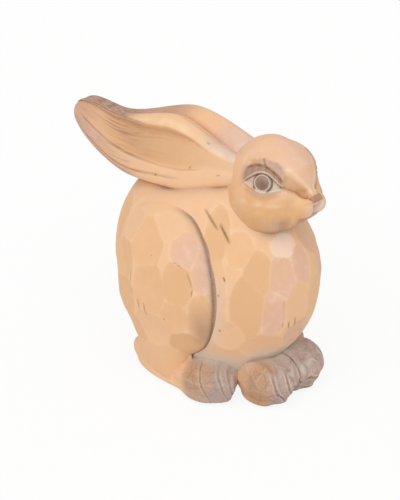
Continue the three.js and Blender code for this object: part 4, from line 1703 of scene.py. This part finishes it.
@dataclass(frozen=True)
class Ears:
    """Two long ears laid back side by side: a scooped leaf carried along a sagging line.

    Attributes:
        root: the root, from the skull's middle, given for the left side.
        length: from root to tip along Y.
        stations: shares of the length at the belly and the neck of the ear.
        shoulder: share of the length where the lower edge is at its widest.
        spreads: distance from the middle plane at root, belly, neck and tip.
        rises: height over the root at root, belly, neck and tip.
    """

    root: Point = (15.0, 14.0, 8.0)
    length: float = 187.0
    stations: Place = (0.4, 0.79)
    shoulder: float = 0.3
    spreads: tuple[float, ...] = (15.0, 27.0, 9.0, 4.0)
    rises: tuple[float, ...] = (0.0, 1.5, -9.0, 7.5)
    root_widths: Place = (10.0, 13.0)
    thin_width: float = 11.0
    half_width: float = 30.5
    lower_half_width: float = 26.0
    tip_half_width: float = 18.0
    tip_rounding: float = 8.0
    face_depth: float = 7.0
    back_depth: Place = (24.0, 8.0)
    back_fullness: float = 0.42
    back_lift: float = 0.15
    hollow: float = 7.5
    lean: Place = (30.0, 8.0)
    rings: int = 230
    columns: int = 220
    middle_gap: float = 0.03
    pits: tuple[Place, ...] = ((0.38, -0.75), (0.18, 0.75), (0.23, -0.3), (0.1, -0.5))

    def line(self, share: Array, side: Side) -> tuple[Array, Array]:
        """The ear's middle line: cubic spans through four stations, with slopes of the chords beside them.

        Args:
            share: places along it.
            side: the hare's side.

        Returns:
            Points and unit tangents.
        """
        stops = np.array([0.0, *self.stations, 1.0])
        start = HEAD.at(self.root)
        corners = np.stack([
            np.array(self.spreads) * side.value,
            start[1] + stops * self.length,
            start[2] + np.array(self.rises),
        ], axis=-1)
        steps = np.diff(stops)[:, None]
        chords = np.diff(corners, axis=0) / steps
        inner = (chords[:-1] * steps[1:] + chords[1:] * steps[:-1]) / (steps[:-1] + steps[1:])
        first, last = (1.5 * chords[i] - 0.5 * inner[i] for i in (0, -1))
        slopes = np.stack([first, *inner, last])
        span = np.clip(np.searchsorted(stops, share, side="right") - 1, 0, 2)
        step, t = steps[span], ((share - stops[span]) / steps[span, 0])[:, None]
        points = (
            corners[span] * (2 * t ** 3 - 3 * t ** 2 + 1) + corners[span + 1] * (3 * t ** 2 - 2 * t ** 3)
            + step * (slopes[span] * (t ** 3 - 2 * t ** 2 + t) + slopes[span + 1] * (t ** 3 - t ** 2))
        )
        along = (
            (corners[span + 1] - corners[span]) * (6 * t - 6 * t ** 2) / step
            + slopes[span] * (3 * t ** 2 - 4 * t + 1) + slopes[span + 1] * (3 * t ** 2 - 2 * t)
        )
        return points, unit(along)

    def widths(self, share: Array) -> tuple[Array, Array]:
        """Distances from the middle line to the upper and the lower edge.

        Args:
            share: places along the ear.

        Returns:
            For each edge a smooth rise to the widest place, then a taper rounded off at the tip. The upper
            edge tapers straight, the lower one in an S.
        """
        belly = self.stations[0]
        past = np.clip((share - belly) / (1.0 - belly), 0.0, 1.0)
        tip = np.sqrt(np.maximum(1.0 - past ** self.tip_rounding, 0.0))
        edges = []
        for root, full, widest, taper in (
            (self.root_widths[0], self.half_width, belly, past),
            (self.root_widths[1], self.lower_half_width, self.shoulder, smoothstep(past, 0.0, 0.75)),
        ):
            rising = root + (full - root) * smoothstep(share, 0.0, widest)
            edges.append((rising + (self.tip_half_width - full) * taper) * tip)
        return edges[0], edges[1]

    def stand(self, share: Array, side: Side) -> tuple[Array, Array, Array]:
        """Where the leaf's sections stand.

        Args:
            share: places along the ear.
            side: the hare's side.

        Returns:
            Points of the middle line, and the directions up across the leaf and out of its face.
        """
        middle, along = self.line(share, side)
        leaned = smoothstep(share, self.stations[0], 1.0)
        lean = np.radians(self.lean[0] + (self.lean[1] - self.lean[0]) * leaned)
        upwards = np.stack([-side.value * np.sin(lean), np.zeros_like(lean), np.cos(lean)], axis=-1)
        across = unit(upwards - along * np.einsum("nk,nk->n", upwards, along)[:, None])
        return middle, across, np.cross(along, across) * side.value

    def shade(self, points: Array) -> tuple[Array, Array]:
        """The painted shade under the ears, and the crease there, cut in and painted dark, on what they lie
        on.

        Args:
            points: N points.

        Returns:
            Two bells of the distance to the lower half of the nearer ear's face: a broad and a narrow one.
        """
        share = np.linspace(0.05, 0.6, 24)
        high = points[:, 2] > 130.0
        gap = np.full(len(points), 99.0)
        for side in Side:
            middle, across, outwards = self.stand(share, side)
            for w in (-1.0, -0.85, -0.65, -0.45, -0.25):
                out = math.sqrt(1.0 - w * w) * self.face_depth
                line = middle + across * (w * self.widths(share)[1])[:, None] + outwards * out
                near = along_lines(points[high], line[:-1], line[1:])[0].min(axis=1)
                gap[high] = np.minimum(gap[high], near)
        return bell(gap, 7.0), bell(gap, 2.6)

    def build(self, bench: Workbench, finish: bpy.types.Material) -> list[bpy.types.Object]:
        """Carry the leaf's section along the line and paint it.

        The section runs from the upper edge over the outer face to the lower edge and back behind. The
        outer face is scooped between two rims, with long knife strokes along the lower one.

        Args:
            bench: puts them into the frame.
            finish: their paint.

        Returns:
            The two pieces.
        """
        share = np.sin(np.linspace(0.0, 1.0, self.rings) * np.pi / 2.0)
        share[-1] = 1.0 - 1e-4
        angle = np.arange(self.columns) / self.columns * 2.0 * np.pi
        s, t = share[:, None], angle[None, :]
        w, bulge = np.cos(t) + 0.0 * s, np.sin(t) + 0.0 * s
        upper_half, lower_half = self.widths(s)
        half = np.where(w > 0.0, upper_half, lower_half)
        plump = np.minimum(1.0, (upper_half + lower_half) / 2.0 / self.thin_width)
        outer = bulge > 0.0
        back = self.back_depth[0] + (self.back_depth[1] - self.back_depth[0]) * s
        depth = np.where(outer, self.face_depth, back)
        upper = 0.36 + 0.22 * smoothstep(s, 0.08, 0.28) + 0.24 * smoothstep(s, 0.45, 0.75)
        lower = -0.2 - 0.16 * smoothstep(s, 0.1, 0.3) + 0.34 * smoothstep(s, 0.38, 0.85)
        swell = smoothstep(s, 0.1, 0.4) * (1.0 - 0.5 * smoothstep(s, 0.6, 1.0))
        bowl = (1.0 - smoothstep(w, upper - 0.07, upper + 0.05)) * smoothstep(w, lower - 0.16, lower + 0.14)
        rng = np.random.default_rng(SEED + 7)
        strokes = np.max([
            depth * bell(w - place, width) * smoothstep(s, start, start + 0.1)
            * (1.0 - smoothstep(s, end - 0.06, end))
            for depth, place, width, start, end in (
                (1.2, lower - 0.07, 0.035, 0.14, 0.97),
                (1.0, -0.75 + 0.04 * np.sin(9.0 * s), 0.035, 0.24, 0.95),
                (0.5, -0.42 + 0.5 * (s - 0.7), 0.02, 0.6, 0.84),
                (0.5, -0.58 + 0.0 * s, 0.02, 0.5, 0.76),
                (1.2, upper + 0.05, 0.03, 0.48, 0.99),
            )
        ], axis=0)
        streak = smoothstep(brushed(rng, (w + 1.0) / 2.0, s + 0.0 * w, (64, 10)), 0.5, 0.85)
        girth = 1.0 - np.abs(t / np.pi - 1.0) + 0.0 * s
        hatch = smoothstep(brushed(rng, girth, s + 0.0 * w, (110, 70)), 0.3, 0.75)
        fullness = self.back_fullness + 0.16 * (1.0 - smoothstep(s, 0.12, 0.36))
        full = np.where(w > 0.0, np.abs(bulge) ** fullness, np.abs(bulge))
        raised = np.where(outer, bulge, -full) * depth * plump
        lifted = np.where(outer, 0.0, -raised * self.back_lift * smoothstep(w, 0.1, 0.6))
        outwards_by = raised - np.where(outer, (self.hollow * swell * bowl + strokes) * plump, 0.0)
        made = []
        for side in Side:
            middle, across, outwards = self.stand(share, side)
            rings = (
                middle[:, None] + across[:, None] * (w * half + lifted)[..., None]
                + outwards[:, None] * outwards_by[..., None]
            )
            ends, _ = self.line(np.array([0.0, 1.0]), side)
            points = np.concatenate([ends[:1], rings.reshape(-1, 3), ends[1:]])
            points[:, 0] = side.value * np.maximum(side.value * points[:, 0], self.middle_gap)
            tip = smoothstep(s, 0.5, 0.85)
            worn = 0.35 + 0.65 * smoothstep(s, 0.36, 0.55)
            pit = np.max([
                bell(np.hypot((s - at) * self.length, (w - up) * self.half_width), 1.0)
                for at, up in self.pits
            ], axis=0) * np.where(outer, 1.0 if side is Side.RIGHT else 0.0, 0.0)
            band = np.where(outer, smoothstep(w, upper + 0.02, upper + 0.08), smoothstep(w, 0.35, 0.7))
            band = band * smoothstep(s, 0.56, 0.72)
            smear = bell(s - 0.72, 0.14) * bell(w - upper + 0.3, 0.3) * (0.35 + 0.65 * streak)
            rim = bell(w + 1.0, 0.16) * smoothstep(s, 0.45, 0.7) * 0.9
            stain = np.max([
                band * (0.5 + 0.4 * hatch), rim, np.where(outer, strokes * 0.5 * worn, 0.0),
                0.0 * w + 0.3 * tip + 0.25 * smoothstep(s, 0.84, 0.95),
                np.where(outer, bowl * (0.2 + 0.25 * streak * smoothstep(s, 0.3, 0.5)) + 0.7 * smear, 0.0),
                np.where(outer, 0.45 * streak * smoothstep(s, 0.55, 0.8), 0.0),
            ], axis=0)
            if side is Side.LEFT:
                stain = np.maximum(stain, bell(w - 1.0, 0.12) * smoothstep(s, 0.3, 0.5) * 0.75)
            tone = np.where(outer, 0.5 - 0.5 * bowl * swell, 0.5) + 0.3 * smoothstep(s, 0.6, 0.9)
            root = 1.0 - smoothstep(s, 0.1, 0.3)
            root = root * np.where(outer, smoothstep(w, upper - 0.05, upper + 0.15), 1.0)
            tone = tone + 0.3 * root
            masks = {
                Mask.TONE.value: tone,
                Mask.RIDGE.value: np.where(outer, bell(w - upper - 0.16, 0.12), 0.0) * (1.0 - tip) * 0.7,
                Mask.WASH.value: root * 0.35 + 0.2 * (1.0 - smoothstep(s, 0.04, 0.12)),
                Mask.STAIN.value: stain,
                Mask.SCORE.value: np.maximum(
                    np.where(outer, strokes * (0.12 + 0.3 * streak) * worn, 0.0),
                    band * (0.15 + 0.35 * hatch)) + rim * 0.35 * (0.4 + 0.6 * hatch) + pit * 0.8,
            }
            flat_masks = {
                key: np.concatenate([values[0, :1], values.ravel(), values[-1, :1]])
                for key, values in masks.items()
            }
            name = side.name.lower()
            made.append(bench.piece(
                name + "_ear_leaf", points, self.columns, flat_masks, name + "_ear", finish))
        return made


EARS = Ears()


@dataclass(frozen=True)
class Tail:
    """The scut: a round tuft cut in small flats."""

    half: Point = (17.0, 14.0, 17.0)
    height: float = 36.0

    def build(self, bench: Workbench, finish: bpy.types.Material) -> bpy.types.Object:
        """Cut the tuft.

        Args:
            bench: puts it into the frame.
            finish: its paint.

        Returns:
            The piece.
        """
        start = np.array([(0.0, 0.0, self.height)])
        middle = cast(TRUNK.skin_field, start, np.array([(0.0, 1.0, 0.0)]))[0]

        def form(points: Array) -> Array:
            """The tuft."""
            return lump(points, middle, self.half)

        skin = Skin(tuple(middle), (0.0, 1.0, 0.0), (0.0, 0.0, 1.0), 120, 80)
        points = skin.over(form)
        rng = np.random.default_rng(SEED + 5)
        picks = rng.integers(0, len(points), 40)
        tones = rng.choice(np.array([Tone.HONEY, Tone.PEACH, Tone.BLUSH]), len(picks))
        flats = [Flat((0.0, 0.0), 4.5, 7.0, tone) for tone in tones]
        drop, tone, ridge = Knife(16.0, 0.04, 0.12).carve(form, points, points[picks], flats)
        to_trunk = TRUNK.skin_field(points)
        zero = np.zeros(len(points))
        masks = {
            Mask.TONE.value: tone, Mask.RIDGE.value: ridge * 0.8,
            Mask.WASH.value: bell(np.maximum(to_trunk, 0.0), 3.0) * 0.6, Mask.STAIN.value: zero,
            Mask.SCORE.value: zero,
        }
        points = points + normals(form, points) * drop[:, None]
        return bench.piece("tail_tuft", points, skin.columns, masks, "tail", finish)


@dataclass(frozen=True)
class FeltPads:
    """Four felt discs under the feet, with pressed edges."""

    radius: float = 8.0
    thickness: float = 2.0
    edge: float = 0.5
    columns: int = 64

    def build(self, bench: Workbench, finish: bpy.types.Material) -> list[bpy.types.Object]:
        """Turn each disc's rounded profile about its upright axis.

        Args:
            bench: puts them into the frame.
            finish: the felt.

        Returns:
            The four pieces.
        """
        bend = np.linspace(0.0, np.pi / 2.0, 6)
        rim = self.radius - self.edge
        radii = np.concatenate([
            [rim * 0.35, rim * 0.7], rim + self.edge * np.sin(bend), rim + self.edge * np.cos(bend),
            [rim * 0.7, rim * 0.35],
        ])
        heights = np.concatenate([
            [self.thickness] * 2, self.thickness - self.edge * (1.0 - np.cos(bend)),
            self.edge * (1.0 - np.sin(bend)), [0.0] * 2,
        ])
        turn = np.arange(self.columns) / self.columns * 2.0 * np.pi
        made = []
        for side in Side:
            for title, foot in (("hind", HIND_FOOT), ("fore", FOREPAW)):
                stand = mirrored(foot.middle, side) * (1.0, 1.0, 0.0)
                rings = np.stack([
                    radii[:, None] * np.cos(turn), radii[:, None] * np.sin(turn),
                    np.broadcast_to(heights[:, None], (len(radii), self.columns)),
                ], axis=-1) + stand
                points = np.concatenate([
                    (stand + (0.0, 0.0, self.thickness))[None], rings.reshape(-1, 3), stand[None],
                ])
                name = f"{side.name.lower()}_{title}"
                made.append(bench.piece(
                    name + "_felt", points, self.columns, {}, name + "_pad", finish))
        return made


# The studio

@dataclass(frozen=True)
class Studio:
    """A pale table under soft light, seen from the hare's right and a little above.

    Attributes:
        azimuth: the camera's turn about the hare, in degrees.
        elevation: its height, in degrees.
        distance: from the camera to the point that it looks at, in metres.
        lens: focal length on a 36 mm frame.
        aim: the point that it looks at, in metres.
        sky: strength of the even light from all round.
        key: strength of the soft light from above.
    """

    azimuth: float = -50.0
    elevation: float = 25.0
    distance: float = 1.6
    lens: float = 144.0
    aim: Point = (-0.00695, -0.01194, 0.10355)
    sky: float = 0.565
    key: float = 1.5
    key_spread: float = 60.0
    key_azimuth: float = -64.0
    key_elevation: float = 52.0
    table: str = "#FAF9F8"
    table_glow: float = 0.88
    table_half: float = 4.0

    def camera(self) -> None:
        """Place the camera on a level circle about its aim and turn it to look there."""
        turn, tilt = math.radians(self.azimuth), math.radians(self.elevation)
        back = np.array((math.sin(turn) * math.cos(tilt), -math.cos(turn) * math.cos(tilt), math.sin(tilt)))
        lens = bpy.data.cameras.new("camera")
        lens.lens = self.lens
        lens.sensor_fit = "AUTO"
        seen = bpy.data.objects.new("camera", lens)
        seen.location = np.array(self.aim) + self.distance * back
        seen.rotation_euler = (math.pi / 2.0 - tilt, 0.0, turn)
        bpy.context.scene.collection.objects.link(seen)
        bpy.context.scene.camera = seen

    def light(self) -> None:
        """Hang one broad soft lamp overhead, in a white room."""
        lamp = bpy.data.lights.new("overhead", "SUN")
        lamp.energy = self.key
        lamp.angle = math.radians(self.key_spread)
        hung = bpy.data.objects.new("overhead", lamp)
        hung.rotation_euler = (math.radians(90.0 - self.key_elevation), 0.0, math.radians(self.key_azimuth))
        bpy.context.scene.collection.objects.link(hung)
        world = bpy.data.worlds.new("white_room")
        world.use_nodes = True
        tree = world.node_tree
        tree.nodes.clear()
        path = add_node(tree, "ShaderNodeLightPath").outputs
        seen = add_node(tree, "ShaderNodeMath", {
            0: path["Is Camera Ray"], 1: path["Is Glossy Ray"],
        }, operation="MAXIMUM").outputs[0]
        seen = add_node(tree, "ShaderNodeMath", {
            0: seen, 1: path["Is Transmission Ray"],
        }, operation="MAXIMUM").outputs[0]
        strength = add_node(tree, "ShaderNodeMapRange", {
            "Value": seen, "To Min": self.sky, "To Max": 1.0,
        }).outputs["Result"]
        sky = add_node(tree, "ShaderNodeBackground", {"Color": linear("#FFFFFF"), "Strength": strength})
        add_node(tree, "ShaderNodeOutputWorld", {"Surface": sky.outputs["Background"]})
        bpy.context.scene.world = world

    def floor(self) -> None:
        """Lay the pale table, as one large square at height 0."""
        material, tree, shader = new_material("matt_white_table")
        shader.inputs["Base Color"].default_value = linear(self.table)
        shader.inputs["Roughness"].default_value = 0.9
        shader.inputs["Specular IOR Level"].default_value = 0.0
        path = add_node(tree, "ShaderNodeLightPath").outputs
        seen = add_node(tree, "ShaderNodeMath", {
            0: path["Is Camera Ray"], 1: self.table_glow,
        }, operation="MULTIPLY").outputs[0]
        white = add_node(tree, "ShaderNodeEmission", {"Color": linear("#FFFFFF"), "Strength": 1.0})
        mixed = add_node(tree, "ShaderNodeMixShader", {
            0: seen, 1: shader.outputs["BSDF"], 2: white.outputs["Emission"],
        })
        tree.links.new(mixed.outputs["Shader"], tree.nodes["Material Output"].inputs["Surface"])
        mesh = bpy.data.meshes.new("table")
        h = self.table_half
        mesh.from_pydata([(-h, -h, 0.0), (h, -h, 0.0), (h, h, 0.0), (-h, h, 0.0)], [], [(0, 1, 2, 3)])
        mesh.materials.append(material)
        table = bpy.data.objects.new("table", mesh)
        bpy.context.scene.collection.objects.link(table)


def dress_nodes(finishes: dict[str, bpy.types.Material]) -> None:
    """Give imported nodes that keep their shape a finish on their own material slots.

    Args:
        finishes: a material for each node.
    """
    for node, finish in finishes.items():
        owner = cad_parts[node]
        for holder in owner.material_slots:
            holder.material = finish
        LOG.info("%s keeps its packed shape", node)


def main() -> None:
    """Build the hare piece by piece, then the studio."""
    logging.basicConfig(level=logging.INFO, format="%(name)s %(message)s")
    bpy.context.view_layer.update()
    low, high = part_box("body_shell")
    bench = Workbench((0.0, (low[1] + high[1]) / 2.0 / MM, 0.0))
    carved, ear, paw = CARVED.material(), EAR.material(), FOOT.material()
    TRUNK.build(bench, carved)
    HEAD.build(bench, FACE.material())
    Tail().build(bench, carved)
    EARS.build(bench, ear)
    Eyes().build(bench, GlazedIris().material())
    for side in Side:
        HAUNCH.build(side, bench, carved)
        HIND_FOOT.build(side, bench, paw)
        FOREPAW.build(side, bench, paw)
    FeltPads().build(bench, PressedFelt().material())
    steel = DrawnSteel().material()
    dress_nodes({"base_plug": BareResin().material(), "right_ear_pin": steel, "left_ear_pin": steel})
    studio = Studio()
    studio.camera()
    studio.light()
    studio.floor()
    bpy.context.scene.view_settings.view_transform = "Standard"


if __name__ == "__main__":
    main()
